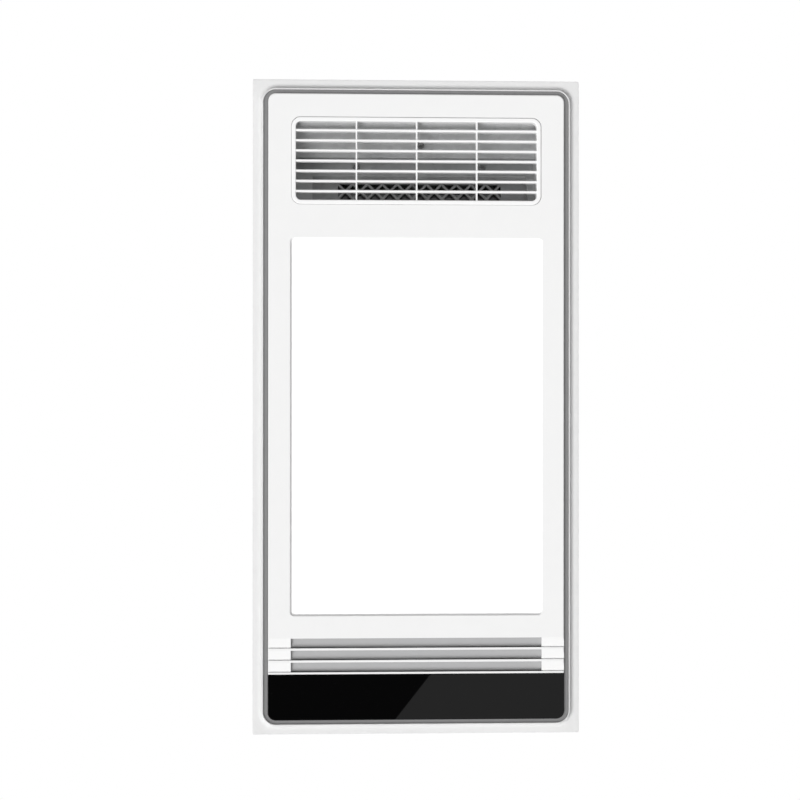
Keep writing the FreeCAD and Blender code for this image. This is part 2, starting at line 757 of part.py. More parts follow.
def outlet_grille():
    front = -FACE_DROP - GRILLE_PROUD
    seat_z = GRILLE_SEAT - FACE_DROP
    top = GRILLE_DEPTH - FACE_DROP
    band = rounded_plate(about(0, GRILLE_WIDTH / 2), about(OUTLET_Y, GRILLE_LENGTH / 2), GRILLE_RADIUS,
                         (front, seat_z))
    opening_radius = GRILLE_RADIUS - GRILLE_BAND
    tube = rounded_plate(about(0, OPENING_X + TUBE_WALL), about(OUTLET_Y, OPENING_Y + TUBE_WALL),
                         opening_radius + TUBE_WALL, (seat_z, top))
    opening = rounded_plate(about(0, OPENING_X), about(OUTLET_Y, OPENING_Y), opening_radius, (front, top))
    frame = band.fuse(tube).cut(opening)
    frame = round_edges(frame, GRILLE_EDGE, lambda item: level_at(item, front))
    bar_z = (-FACE_DROP, BAR_DEPTH - FACE_DROP)
    bars = []
    for step in range(BAR_COUNT):
        y = OUTLET_Y + BAR_PITCH * (step - (BAR_COUNT - 1) / 2)
        bar = box(about(0, OPENING_X + TUBE_WALL / 2), about(y, BAR_WIDTH / 2), bar_z)
        bars.append(round_edges(bar, BAR_ROUND, lambda item: level_at(item, -FACE_DROP) and
                                item.BoundBox.XLength > BAR_WIDTH))
    post_z = (POST_SETBACK - FACE_DROP, BAR_DEPTH - FACE_DROP - POST_SETBACK)
    pitch = 2 * OPENING_X / (POST_COUNT + 1)
    for step in range(POST_COUNT):
        x = pitch * (step - (POST_COUNT - 1) / 2)
        bars.append(box(about(x, POST_WIDTH / 2), about(OUTLET_Y, OPENING_Y + TUBE_WALL / 2), post_z))
    return fused([frame] + bars)


def intake_slots():
    tops = [INTAKE_START + step * SLAT_PITCH for step in range(SLAT_COUNT)]
    return [(top, top + SLAT_PITCH - SLAT_EDGE) for top in tops]


def slat_slopes():
    # Each slot's wall beside the opening slopes back from the slat above it.
    front = -FACE_DROP
    slopes = []
    for top, bottom in intake_slots():
        wedge = [(top, front), (bottom, front), (bottom, front + STEP_DEPTH)]
        slopes.append(prism_x(wedge, about(0, PANEL_WIDTH)))
    return Part.makeCompound(slopes)


def intake_baffle():
    # Plate set back behind the slats, with a long air slit behind each of them.
    half = INTAKE_OPENING / 2
    edge = half + BAFFLE_OVERLAP
    front = BAFFLE_DEPTH - FACE_DROP
    back = front + BAFFLE_SHEET
    y = (INTAKE_START - BAFFLE_OVERLAP, INTAKE_END - SLAT_EDGE - BAFFLE_SLIT)
    block = box((-edge, edge), y, (FACE_BACK, back))
    plate = block.cut(box((-half, half), (INTAKE_START, INTAKE_END), (FACE_BACK, front)))
    span = INTAKE_OPENING / BAFFLE_SPANS
    slits = []
    for top, bottom in intake_slots()[:-1]:
        slit_y = (bottom - BAFFLE_SLIT, bottom + SLAT_EDGE - BAFFLE_LAP)
        for place in range(BAFFLE_SPANS):
            x = about(span * (place + 0.5) - half, (span - BAFFLE_RIB) / 2)
            slits.append(box(x, slit_y, (front, back)))
    return cut_all(plate, slits)


def accent_strip():
    shell, hollow = face_tray(STRIP_DROP, STRIP_WALL, STRIP_EDGE)
    start = INTAKE_END + TRIM_GAP
    beyond = (-PANEL_LENGTH, start)
    deep = (-PANEL_WIDTH, PANEL_WIDTH)
    strip = shell.cut(box(deep, beyond, deep))
    hollow = hollow.cut(box(deep, (-PANEL_LENGTH, start + FACE_SIDE), deep))
    return strip.cut(hollow)


# Light pieces

def light_plate(beyond, radius, z):
    half = LIGHT_WIDTH / 2 + beyond
    return rounded_plate((-half, half), (LIGHT_START - beyond, LIGHT_END + beyond), radius, z)


def light_bevel():
    # Sloping edge between the face and the recessed light.
    wires = []
    for beyond, z in ((LIGHT_EDGE, -FACE_DROP), (0, LIGHT_RECESS - FACE_DROP)):
        half = LIGHT_WIDTH / 2 + beyond
        wires.append(rounded_wire((-half, half), (LIGHT_START - beyond, LIGHT_END + beyond),
                                  LIGHT_RADIUS + beyond, z))
    return Part.makeLoft(wires, True, True)


def light_diffuser():
    front = light_plate(-TRIM_GAP, LIGHT_RADIUS - TRIM_GAP, (LIGHT_RECESS - FACE_DROP, FACE_BACK))
    flange = light_plate(TRAY_BEYOND, LIGHT_RADIUS, (FACE_BACK, FACE_BACK + DIFFUSER_FLANGE))
    return front.fuse(flange)


def light_guide():
    return light_plate(GUIDE_OVERLAP, LIGHT_RADIUS, (FACE_BACK + DIFFUSER_FLANGE, GUIDE_TOP))


def light_reflector():
    return light_plate(GUIDE_OVERLAP, LIGHT_RADIUS, (GUIDE_TOP, TRAY_BOTTOM))


def led_bars():
    y = (LIGHT_START, LIGHT_END)
    z = (FACE_BACK + DIFFUSER_FLANGE, TRAY_BOTTOM)
    bars = []
    for side in (-1, 1):
        bars.append(box(sorted((side * LED_INNER, side * (LED_INNER + LED_BAR))), y, z))
    return group(bars)


def led_chips():
    pitch = (LIGHT_END - LIGHT_START) / CHIP_COUNT
    z = about(FACE_BACK + DIFFUSER_FLANGE + GUIDE_THICKNESS / 2, CHIP_HEIGHT / 2)
    chips = []
    for side in (-1, 1):
        x = sorted((side * (LED_INNER - CHIP_DEPTH), side * LED_INNER))
        for step in range(CHIP_COUNT):
            y = LIGHT_START + pitch * (step + 0.5)
            chips.append(box(x, about(y, CHIP_LENGTH / 2), z))
    return group(chips)


def light_tray():
    bottom = FACE_BACK + DIFFUSER_FLANGE
    outer = light_plate(TRAY_BEYOND, LIGHT_RADIUS, (bottom, TRAY_TOP))
    inner = light_plate(TRAY_BEYOND - TRAY_SHEET, LIGHT_RADIUS - TRAY_SHEET, (bottom, TRAY_BOTTOM))
    tray = outer.cut(inner)
    ears = []
    for point in light_screw_points():
        reach = EAR_LENGTH / 2 + TRAY_SHEET
        ears.append(box(about(point.x, EAR_WIDTH / 2), about(point.y, reach), (TRAY_BOTTOM, TRAY_TOP)))
    tray = fused([tray] + ears)
    return cut_all(tray, [screw_hole(point, -AXIS_Z) for point in light_screw_points()])


def light_screws():
    length = TRAY_TOP - FACE_BACK - SCREW_GAP * 2
    return group([screw(point, -AXIS_Z, length) for point in light_screw_points()])


def led_driver():
    base = TRAY_TOP
    case = rounded_plate(about(DRIVER_X, DRIVER_WIDTH / 2), about(DRIVER_Y, DRIVER_LENGTH / 2), FACE_SIDE,
                         (base, base + DRIVER_HEIGHT))
    case = round_edges(case, FACE_EDGE, lambda item: level_at(item, base + DRIVER_HEIGHT))
    tabs = rounded_plate(about(DRIVER_X, DRIVER_WIDTH / 4), about(DRIVER_Y, DRIVER_LENGTH / 2 + EAR_LENGTH),
                         FACE_SIDE, (base, base + FACE_SIDE))
    return case.fuse(tabs)


# Fastening of the panel to the housing

def panel_clips():
    clips = []
    skirt = WINDOW_X + SKIRT_WALL
    low = LIP_THICKNESS
    high = SKIRT_HEIGHT
    over = high + CLIP_SHEET
    for side, y in clip_places():
        outline = [(skirt, low), (skirt + CLIP_SHEET, low), (skirt + CLIP_SHEET, high - CLIP_SHEET),
                   (INNER_X + CLIP_NOSE, CEILING_GAP + CLIP_NOSE_RISE), (INNER_X - CLIP_SHEET * 2, over),
                   (WINDOW_X - CLIP_SHEET, over), (WINDOW_X - CLIP_SHEET, low),
                   (WINDOW_X, low), (WINDOW_X, high), (skirt, high)]
        clips.append(prism_y([(side * x, z) for x, z in outline], about(y, CLIP_WIDTH / 2)))
    return group(clips)


# Housing

def housing_box():
    z = (CEILING_GAP, HOUSING_TOP)
    y = (HOUSING_START, HOUSING_END)
    shell = rounded_plate((-WALL_X, WALL_X), y, SHEET_BEND, z)
    shell = round_edges(shell, SHEET_BEND - SHEET, lambda item: level_at(item, HOUSING_TOP))
    hollow = rounded_plate((-INNER_X, INNER_X), INNER_Y, SHEET_BEND - SHEET, (z[0], INNER_TOP))
    rim = rounded_plate((-WALL_X - RIM_WIDTH, WALL_X + RIM_WIDTH), (y[0] - RIM_WIDTH, y[1] + RIM_WIDTH),
                        SHEET_BEND, (CEILING_GAP, CEILING_GAP + SHEET))
    ribs = []
    middle = (y[0] + y[1]) / 2
    reach = (y[1] - y[0]) / 2 - RIB_INSET
    rib_top = HOUSING_TOP + RIB_HEIGHT
    for x in about(0, RIB_X):
        rib = rounded_plate(about(x, RIB_WIDTH / 2), about(middle, reach), RIB_ROUND, (INNER_TOP, rib_top))
        ribs.append(round_edges(rib, RIB_EDGE, lambda item: level_at(item, rib_top)))
    solid = fused([shell, rim] + ribs).cut(hollow)
    cutters = [exhaust_rod(SPIGOT_BORE, (CASE_TOP, SPIGOT_Z))]
    wire_z = CONTROL_Z + CONTROL_HEIGHT / 4
    cutters.append(cylinder(WIRE_HOLE, V(CONTROL_X, 0, wire_z), V(CONTROL_X, PANEL_LENGTH, wire_z)))
    nose_z = CEILING_GAP + CLIP_NOSE_RISE
    slot_z = (nose_z - TRIM_GAP, nose_z + CLIP_SLOT)
    for side, clip_y in clip_places():
        x = sorted((side * (INNER_X - SHEET), side * (WALL_X + RIM_WIDTH / 3)))
        cutters.append(box(x, about(clip_y, CLIP_WIDTH / 2 + SHEET), slot_z))
    cutters += [screw_hole(point, AXIS_Y) for point in flange_screw_points()]
    cutters += [screw_hole(point, -AXIS_Z) for point in spigot_screw_points()]
    cutters += [screw_hole(V(point.x, point.y, HOUSING_TOP), -AXIS_Z) for point in post_points()]
    cutters += [screw_hole(point, way) for point, way in hanger_rivet_points()]
    return cut_all(solid, cutters)


def hanger_brackets():
    top = HOUSING_TOP - HANGER_BELOW_TOP
    sheet = HANGER_SHEET
    section = [(0, top), (HANGER_REACH, top), (HANGER_REACH, top - sheet), (sheet, top - sheet),
               (sheet, top - HANGER_HEIGHT), (0, top - HANGER_HEIGHT)]
    web = [(sheet / 2, top - sheet / 2), (HANGER_REACH / 4, top - sheet / 2),
           (sheet / 2, top - HANGER_HEIGHT / 2)]
    rivet_holes = [screw_hole(point, way) for point, way in hanger_rivet_points()]
    brackets = []
    for side, wall, x in hanger_places():
        bracket = prism_x([(wall + side * out, z) for out, z in section], about(x, HANGER_WIDTH / 2))
        gusset = prism_x([(wall + side * out, z) for out, z in web], about(x, sheet / 2))
        hole = upright(HANGER_HOLE, x, wall + side * HANGER_HOLE_OUT, (top - HANGER_HEIGHT, top + sheet))
        brackets.append(cut_all(fused([bracket, gusset]), [hole] + rivet_holes))
    return group(brackets)


def hanger_rivets():
    return group([rivet(point, way, HANGER_SHEET + SHEET * 2) for point, way in hanger_rivet_points()])


# Outlet hood and heater

def outlet_hood():
    heater_end = heater_point(0, HEATER_SPAN, 0)
    section = [(HOOD_Y[0], HOOD_Z), (HOOD_BEND_Y, HOOD_BEND_Z), (HOOD_BEND_Y, HEATER_TOP_Z),
               (heater_end.y, heater_end.z), (HOOD_Y[1], HOOD_Z)]
    points = [V(0, y, z) for y, z in section]
    inner_face = Part.Face(Part.makePolygon(points + points[:1]))
    outer_face = inner_face.makeOffset2D(DUCT_SHEET, 2)
    outer_x = HOOD_X + DUCT_SHEET
    hood = outer_face.extrude(V(2 * outer_x, 0, 0))
    hood.translate(V(-outer_x, 0, 0))
    chamber = inner_face.extrude(V(2 * HOOD_X, 0, 0))
    chamber.translate(V(-HOOD_X, 0, 0))
    size = PANEL_LENGTH
    below = box((-size, size), (-size, size), (HOOD_Z - size, HOOD_Z))
    behind = in_heater(box((-size, size), (-size, size), (0, size)))
    tab_y = (INNER_Y[0], HOOD_BEND_Y)
    flange = box((-HOOD_X, HOOD_X), tab_y, (FLANGE_Z, FLANGE_Z + DUCT_SHEET))
    tab = box((-HOOD_X, HOOD_X), (tab_y[0], tab_y[0] + DUCT_SHEET), (FLANGE_Z, FLANGE_Z + FLANGE_TAB))
    hood = fused([hood, flange, tab]).cut(chamber).cut(below).cut(behind)
    point, way = hood_screw()
    hood = max(hood.Solids, key=lambda solid: solid.Volume).fuse(bezel(point, way))
    cutters = [screw_hole(point, way)]
    cutters += [screw_hole(place, AXIS_Y) for place in flange_screw_points()]
    return cut_all(hood, cutters)


def hood_screws():
    point, way = hood_screw()
    screws = [screw(point, way)]
    screws += [screw(place, AXIS_Y) for place in flange_screw_points()]
    return group(screws)


def heater_plate():
    outer_x = HOOD_X + DUCT_SHEET
    plate = box((-outer_x, outer_x), (0, HEATER_SPAN), (0, DUCT_SHEET))
    x = about(HEATER_SHIFT, WINDOW_WIDTH / 2)
    wall = DUCT_SHEET
    collar = box((x[0] - wall, x[1] + wall), (WINDOW_TOP - wall, WINDOW_BOTTOM + wall), (0, WINDOW_DEPTH))
    rim = WINDOW_RIM_WIDTH
    front = box((x[0] - rim, x[1] + rim), (WINDOW_TOP - rim, WINDOW_BOTTOM), (-WINDOW_RIM, 0))
    window = box(x, (WINDOW_TOP, WINDOW_BOTTOM), (-WINDOW_DEPTH, WINDOW_DEPTH * 2))
    bezels = [bezel(point, AXIS_Z) for point in heater_screw_points()]
    plate = fused([plate, collar, front] + bezels).cut(window)
    return in_heater(cut_all(plate, [screw_hole(point, AXIS_Z) for point in heater_screw_points()]))


def lattice_bars(x, y):
    # Crossing diagonal bars that fill the guard's window.
    slope = V(CELL_WIDTH / 2, CELL_HEIGHT / 2, 0)
    rows = (y[1] - y[0]) / CELL_HEIGHT
    reach = slope * (2 * rows + 2)
    thick = slope.cross(AXIS_Z).normalize() * (LATTICE_BAR / 2)
    bars = []
    window = box(x, y, (GUARD_FRONT, GUARD_BACK))
    first = -math.ceil(rows) - 1
    for step in range(first, CELL_COUNT + 2):
        start = V(x[0] + step * CELL_WIDTH, y[0], GUARD_FRONT) - slope
        corners = [start + thick, start - thick, start + reach - thick, start + reach + thick]
        bar = prism(corners, V(0, 0, GUARD_SHEET)).common(window)
        middle = (x[0] + x[1]) / 2
        if bar.Volume > 0:
            bars += [bar, bar.mirror(V(middle, 0, 0), AXIS_X)]
    return bars


def heater_guard():
    x = about(HEATER_SHIFT, WINDOW_WIDTH / 2 + GUARD_MARGIN)
    plate = box(x, (GUARD_TOP, HEATER_SPAN), (GUARD_FRONT, GUARD_BACK))
    lattice_x = about(HEATER_SHIFT, CORE_X)
    lattice_y = (CELL_TOP, WINDOW_BOTTOM)
    hole = box(lattice_x, lattice_y, (0, GUARD_BACK * 2))
    bosses = []
    for point in heater_screw_points():
        bosses.append(upright(BOSS_RADIUS, point.x, point.y, (DUCT_SHEET, GUARD_BACK)))
    guard = fused([plate.cut(hole)] + lattice_bars(lattice_x, lattice_y) + bosses)
    return in_heater(cut_all(guard, [screw_hole(point, AXIS_Z) for point in heater_screw_points()]))


def heater_screws():
    return group([in_heater(screw(point, AXIS_Z)) for point in heater_screw_points()])


def core_row(step, height, offset):
    top = CELL_TOP + offset + step * (FIN_HEIGHT + TUBE_HEIGHT)
    return (top, top + height)


def tube_boxes(grow):
    end = CORE_X + CAP_WIDTH / 2
    x = about(HEATER_SHIFT, end + grow)
    z = (CORE_FRONT - grow, CORE_FRONT + CORE_DEPTH + grow)
    boxes = []
    for step in range(FIN_ROWS - 1):
        low, high = core_row(step, TUBE_HEIGHT, FIN_HEIGHT)
        boxes.append(box(x, (low - grow, high + grow), z))
    return boxes


def ptc_tubes():
    return group([in_heater(tube) for tube in tube_boxes(0)])


def ptc_fins():
    # Each row is one strip of foil folded to and fro between its neighbours.
    fins = []
    count = int(2 * (CORE_X - CAP_GAP) / FIN_PITCH)
    half = count * FIN_PITCH / 2
    for step in range(FIN_ROWS):
        low, high = core_row(step, FIN_HEIGHT, 0)
        there = []
        back = []
        for fold in range(2 * count + 1):
            x = HEATER_SHIFT - half + fold * FIN_PITCH / 2
            y = high - FIN_FOIL if fold % 2 else low
            there.append(V(x, y, CORE_FRONT))
            back.append(V(x, y + FIN_FOIL, CORE_FRONT))
        fins.append(in_heater(prism(there + back[::-1], V(0, 0, CORE_DEPTH))))
    return group(fins)


def cap_span():
    return (CAP_INSET - CAP_GAP, WINDOW_BOTTOM + CELL_TOP - CAP_INSET + CAP_GAP)


def heater_caps():
    caps = []
    for side in (-1, 1):
        x = sorted((HEATER_SHIFT + side * CORE_X, HEATER_SHIFT + side * (CORE_X + CAP_WIDTH)))
        cap = box(x, cap_span(), (GUARD_BACK, CORE_FRONT + CORE_DEPTH + CORE_BACK_GAP))
        caps.append(in_heater(cut_all(cap, tube_boxes(CAP_GAP))))
    return group(caps)


def heater_terminals():
    outer = HEATER_SHIFT - CORE_X - CAP_WIDTH
    x = (outer - TERMINAL_LENGTH, outer)
    z = about(CORE_FRONT + CORE_DEPTH / 2, TERMINAL_WIDTH / 2)
    blades = []
    for step in range(FIN_ROWS - 1):
        low, high = core_row(step, TUBE_HEIGHT, FIN_HEIGHT)
        blades.append(in_heater(box(x, about((low + high) / 2, TERMINAL_THICKNESS / 2), z)))
    return group(blades)


def thermal_cutout():
    y = (GUARD_TOP + CAP_INSET) / 2 + DUCT_WALL
    body = upright(CUTOUT_RADIUS, CUTOUT_X, y, (GUARD_BACK, GUARD_BACK + CUTOUT_HEIGHT))
    plate = box(about(CUTOUT_X, CUTOUT_RADIUS * 2), about(y, CUTOUT_RADIUS / 2),
                (GUARD_BACK, GUARD_BACK + DUCT_SHEET))
    pins = []
    for x in about(CUTOUT_X, CUTOUT_RADIUS / 2):
        z = (GUARD_BACK + CUTOUT_HEIGHT / 2, GUARD_BACK + CUTOUT_HEIGHT + TERMINAL_LENGTH / 2)
        pins.append(box(about(x, TERMINAL_THICKNESS / 2), about(y, TERMINAL_WIDTH / 4), z))
    return in_heater(fused([body, plate] + pins))


# Air duct from the diverter case to the back of the heater

def duct_loft(grow):
    half = WINDOW_WIDTH / 2 + GUARD_MARGIN / 2 + grow
    x = about(HEATER_SHIFT, half)
    low = GUARD_TOP + DUCT_WALL - grow
    high = HEATER_SPAN - DUCT_WALL + grow
    depth = GUARD_BACK + DUCT_STRAIGHT
    straight = in_heater(box(x, (low, high), (GUARD_BACK, depth)))
    near = [heater_point(*corner) for corner in
            ((x[0], low, depth), (x[1], low, depth), (x[1], high, depth), (x[0], high, depth))]
    exit_x, exit_z = case_exit()
    y = CASE_Y[0] - CASE_WALL
    far = [V(exit_x[0] - grow, y, exit_z[1] + grow), V(exit_x[1] + grow, y, exit_z[1] + grow),
           V(exit_x[1] + grow, y, exit_z[0] - grow), V(exit_x[0] - grow, y, exit_z[0] - grow)]
    wires = [Part.makePolygon(corners + corners[:1]) for corners in (near, far)]
    return straight.fuse(Part.makeLoft(wires, True, True))


def air_duct():
    return duct_loft(DUCT_WALL).cut(duct_loft(0))


# Diverter

def case_exit():
    z = (HINGE_Z - FLAP_LENGTH + SEAT_WIDTH, HINGE_Z - FLAP_SHAFT - SEAT_WIDTH)
    return about(EXHAUST_X, EXIT_WIDTH / 2), z


def hinge_rod(radius, x):
    return cylinder(radius, V(x[0], HINGE_Y, HINGE_Z), V(x[1], HINGE_Y, HINGE_Z))


def scroll_exit():
    return (scroll_point(SCROLL_ANGLE, 0).x - EXIT_TONGUE, CASE_X[1] - EXIT_SIDE), (SCROLL_FLOOR, SCROLL_TOP)


def diverter_case():
    wall = CASE_WALL
    outer = box((CASE_X[0] - wall, CASE_X[1]), (CASE_Y[0] - wall, CASE_Y[1] + wall),
                (CASE_Z[0] - wall, CASE_TOP))
    case = outer.cut(box(CASE_X, CASE_Y, CASE_Z))
    collar_z = (CASE_TOP, INNER_TOP)
    collar = exhaust_rod(SPIGOT_BORE + wall, collar_z).cut(exhaust_rod(SPIGOT_BORE, collar_z))
    seat_z = (HINGE_Z + FLAP_THICKNESS / 2 + SEAT_GAP, CASE_TOP)
    seat = exhaust_rod(EXHAUST_HOLE + SEAT_WIDTH, seat_z)
    exit_x, exit_z = case_exit()
    exit_seat = HINGE_Y - FLAP_THICKNESS / 2 - SEAT_GAP
    rim = box((exit_x[0] - SEAT_WIDTH, exit_x[1] + SEAT_WIDTH), (CASE_Y[0] - wall, exit_seat),
              (exit_z[0] - SEAT_WIDTH, exit_z[1] + SEAT_WIDTH))
    case = fused([case, collar, seat, rim])
    entry_x, entry_z = scroll_exit()
    cutters = [
        exhaust_rod(EXHAUST_HOLE, (HINGE_Z, INNER_TOP)),
        box(exit_x, (CASE_Y[0] - 2 * wall, HINGE_Y), exit_z),
        box(entry_x, (CASE_Y[1] - wall, CASE_Y[1] + 2 * wall), entry_z),
        hinge_rod(FLAP_SHAFT + RUNNING_GAP, (0, CASE_X[1])),
    ]
    return cut_all(case, cutters)


def diverter_cover():
    wall = CASE_WALL
    plate = box((CASE_X[1], CASE_SIDE), (CASE_Y[0] - wall, CASE_Y[1] + wall), (CASE_Z[0] - wall, CASE_TOP))
    holes = [screw_hole(point, -AXIS_X) for point in flap_motor_points(CASE_SIDE)]
    return cut_all(plate, [hinge_rod(FLAP_SHAFT + RUNNING_GAP, (0, PANEL_WIDTH))] + holes)


def diverter_flap():
    plate = box(about(EXHAUST_X, FLAP_WIDTH / 2), (HINGE_Y, HINGE_Y + FLAP_LENGTH),
                about(HINGE_Z, FLAP_THICKNESS / 2))
    return fused([plate, hinge_rod(FLAP_SHAFT, (CASE_X[0] - CASE_WALL, CASE_SIDE + FLAP_SHAFT_GRIP))])


def diverter_motor():
    body = hinge_rod(FLAP_MOTOR_RADIUS, (CASE_SIDE, CASE_SIDE + FLAP_MOTOR_HEIGHT))
    ear_face = CASE_SIDE + FACE_SIDE
    ears = []
    for point in flap_motor_points(CASE_SIDE):
        ears.append(cylinder(BOSS_RADIUS + SCREW_RADIUS, point, point + AXIS_X * FACE_SIDE))
    socket = hinge_rod(FLAP_SHAFT + RUNNING_GAP, (0, CASE_SIDE + FLAP_SHAFT_GRIP + SEAT_GAP))
    holes = [screw_hole(point, -AXIS_X) for point in flap_motor_points(ear_face)]
    return cut_all(fused([body] + ears), [socket] + holes)


def diverter_screws():
    length = FACE_SIDE + CASE_WALL
    return group([screw(point, -AXIS_X, length) for point in flap_motor_points(CASE_SIDE + FACE_SIDE)])


# Fan

def scroll_solid(wall, z):
    # A spiral that closes in towards the tongue, joined by the outlet's straight sides.
    turns = [SCROLL_ANGLE * step / SCROLL_STEPS for step in range(SCROLL_STEPS + 1)]
    points = [scroll_point(turn, wall) for turn in turns]
    curve = Part.BSplineCurve()
    curve.interpolate(points)
    centre = V(FAN_X, FAN_Y, 0)
    spiral = Part.Wire([curve.toShape(), line(points[-1], centre), line(centre, points[0])])
    exit_x = scroll_exit()[0]
    tongue = scroll_point(SCROLL_ANGLE, 0)
    foot = V(exit_x[0], CASE_END, 0)
    across = V(wall * (tongue - foot).Length / (tongue.y - foot.y), 0, 0)
    outlet = [V(exit_x[1] + wall, CASE_END, 0), points[0], centre, tongue - across, foot - across]
    height = V(0, 0, z[1] - z[0])
    solid = fused([Part.Face(spiral).extrude(height), prism(outlet, height)])
    solid.translate(V(0, 0, z[0]))
    return solid


def scroll_case():
    outer = scroll_solid(SCROLL_WALL, (SCROLL_BOTTOM, SCROLL_TOP))
    inner = scroll_solid(0, (SCROLL_FLOOR, SCROLL_TOP))
    lip_radius = INLET_RADIUS + INLET_LIP
    lip_top = SCROLL_BOTTOM + INLET_LIP
    rolled = INLET_LIP * math.sqrt(0.5)
    wide = lip_radius + SCROLL_WALL
    points = [V(lip_radius, 0, SCROLL_BOTTOM), V(INLET_RADIUS, 0, lip_top),
              V(INLET_RADIUS + SCROLL_WALL, 0, lip_top), V(wide, 0, SCROLL_FLOOR), V(wide, 0, SCROLL_BOTTOM)]
    edges = [arc(points[0], V(lip_radius - rolled, 0, lip_top - rolled), points[1])]
    for step in range(1, len(points)):
        edges.append(line(points[step], points[(step + 1) % len(points)]))
    bell = Part.Face(Part.Wire(edges)).revolve(V(0, 0, 0), AXIS_Z, 360)
    bell.translate(V(FAN_X, FAN_Y, 0))
    hole = upright(lip_radius + SCROLL_WALL / 2, FAN_X, FAN_Y, (0, SCROLL_FLOOR))
    return fused([outer.cut(inner).cut(hole), bell])


def scroll_cover():
    plate = scroll_solid(SCROLL_WALL, (SCROLL_TOP, COVER_TOP))
    cutters = [upright(MOTOR_BOSS + MOTOR_BOSS_GAP, FAN_X, FAN_Y, (SCROLL_BOTTOM, HOUSING_TOP))]
    cutters += [screw_hole(V(point.x, point.y, MOTOR_BOTTOM), -AXIS_Z) for point in motor_ear_points()]
    return cut_all(plate, cutters)


def fan_blade():
    # Forward-curved blade: a bent strip from the inner to the outer circle.
    low = WHEEL_BOTTOM + WHEEL_PLATE / 2
    strip = []
    for offset in (0, BLADE_SHEET):
        points = []
        for share, lean in ((0, 0), (0.5, BLADE_BOW), (1, BLADE_LEAN)):
            radius = WHEEL_INNER + (BLADE_DEPTH - BLADE_SHEET / 2) * share
            bearing = (offset - lean) / radius
            points.append(V(radius * math.cos(bearing), radius * math.sin(bearing), low))
        strip.append(points)
    inner, outer = strip
    edges = [arc(*inner), line(inner[2], outer[2]), arc(*outer), line(outer[0], inner[0])]
    return Part.Face(Part.Wire(edges)).extrude(V(0, 0, WHEEL_HEIGHT - WHEEL_PLATE))


def fan_wheel():
    top = WHEEL_TOP
    hub_low = top - HUB_HEIGHT
    disc = cylinder(WHEEL_RADIUS, V(0, 0, top - WHEEL_PLATE), V(0, 0, top))
    hub = Part.makeCone(HUB_RADIUS, HUB_TOP_RADIUS, HUB_HEIGHT, V(0, 0, hub_low), AXIS_Z)
    ring_z = (V(0, 0, WHEEL_BOTTOM), V(0, 0, WHEEL_BOTTOM + WHEEL_PLATE))
    ring = cylinder(WHEEL_RADIUS, *ring_z).cut(cylinder(WHEEL_INNER, *ring_z))
    blade = fan_blade()
    blades = []
    for step in range(BLADE_COUNT):
        turned = blade.copy()
        turned.rotate(V(0, 0, 0), AXIS_Z, 360 * step / BLADE_COUNT)
        blades.append(turned)
    wheel = disc.multiFuse([hub, ring] + blades)
    wheel = wheel.cut(cylinder(SHAFT_RADIUS + HUB_GAP, V(0, 0, 0), V(0, 0, HOUSING_TOP)))
    wheel.translate(V(FAN_X, FAN_Y, 0))
    return wheel


def motor_shaft():
    low = WHEEL_TOP - HUB_HEIGHT - SHAFT_BELOW
    return upright(SHAFT_RADIUS, FAN_X, FAN_Y, (low, MOTOR_BOTTOM + MOTOR_HEIGHT / 2))


def wheel_nut():
    high = WHEEL_TOP - HUB_HEIGHT
    points = []
    for corner in range(6):
        bearing = math.radians(60 * corner)
        x = FAN_X + NUT_RADIUS * math.cos(bearing)
        points.append(V(x, FAN_Y + NUT_RADIUS * math.sin(bearing), high - NUT_HEIGHT))
    nut = prism(points, V(0, 0, NUT_HEIGHT))
    return nut.cut(upright(SHAFT_RADIUS + HUB_GAP, FAN_X, FAN_Y, (0, HOUSING_TOP)))


def fan_motor():
    top = MOTOR_BOTTOM + MOTOR_HEIGHT
    body = upright(MOTOR_RADIUS, FAN_X, FAN_Y, (MOTOR_BOTTOM, top))
    body = round_edges(body, MOTOR_EDGE, lambda item: level_at(item, top))
    boss = upright(MOTOR_BOSS, FAN_X, FAN_Y, (WHEEL_TOP + MOTOR_BOSS_GAP, MOTOR_BOTTOM + FACE_SIDE))
    ear_z = (MOTOR_BOTTOM, MOTOR_BOTTOM + FACE_SIDE)
    ears = []
    for point in motor_ear_points():
        half = (point - V(FAN_X, FAN_Y, 0)) / 2
        ears.append(upright(BUSH_RADIUS, point.x, point.y, ear_z))
        ears.append(rounded_plate(about(FAN_X + half.x, abs(half.x) + MOTOR_ARM),
                                  about(FAN_Y + half.y, abs(half.y) + MOTOR_ARM), FACE_SIDE, ear_z))
    bore = upright(SHAFT_RADIUS + RUNNING_GAP, FAN_X, FAN_Y, (0, MOTOR_BOTTOM + MOTOR_HEIGHT / 2 + SEAT_GAP))
    holes = [screw_hole(V(point.x, point.y, ear_z[1]), -AXIS_Z) for point in motor_ear_points()]
    return cut_all(fused([body, boss] + ears), [bore] + holes)


def motor_bushes():
    bushes = []
    for point in motor_ear_points():
        z = (COVER_TOP, MOTOR_BOTTOM)
        bush = upright(BUSH_RADIUS, point.x, point.y, z)
        bushes.append(bush.cut(upright(SCREW_RADIUS + SCREW_GAP, point.x, point.y, z)))
    return group(bushes)


def motor_screws():
    z = MOTOR_BOTTOM + FACE_SIDE
    length = z - SCROLL_TOP
    return group([screw(V(point.x, point.y, z), -AXIS_Z, length) for point in motor_ear_points()])


def scroll_posts():
    posts = []
    for point in post_points():
        post = upright(POST_RADIUS, point.x, point.y, (COVER_TOP, INNER_TOP))
        posts.append(post.cut(screw_hole(V(point.x, point.y, HOUSING_TOP), -AXIS_Z)))
    return group(posts)


def scroll_screws():
    return group([screw(V(point.x, point.y, HOUSING_TOP), -AXIS_Z) for point in post_points()])


# Exhaust spigot

def exhaust_rod(radius, z):
    return upright(radius, EXHAUST_X, EXHAUST_Y, z)


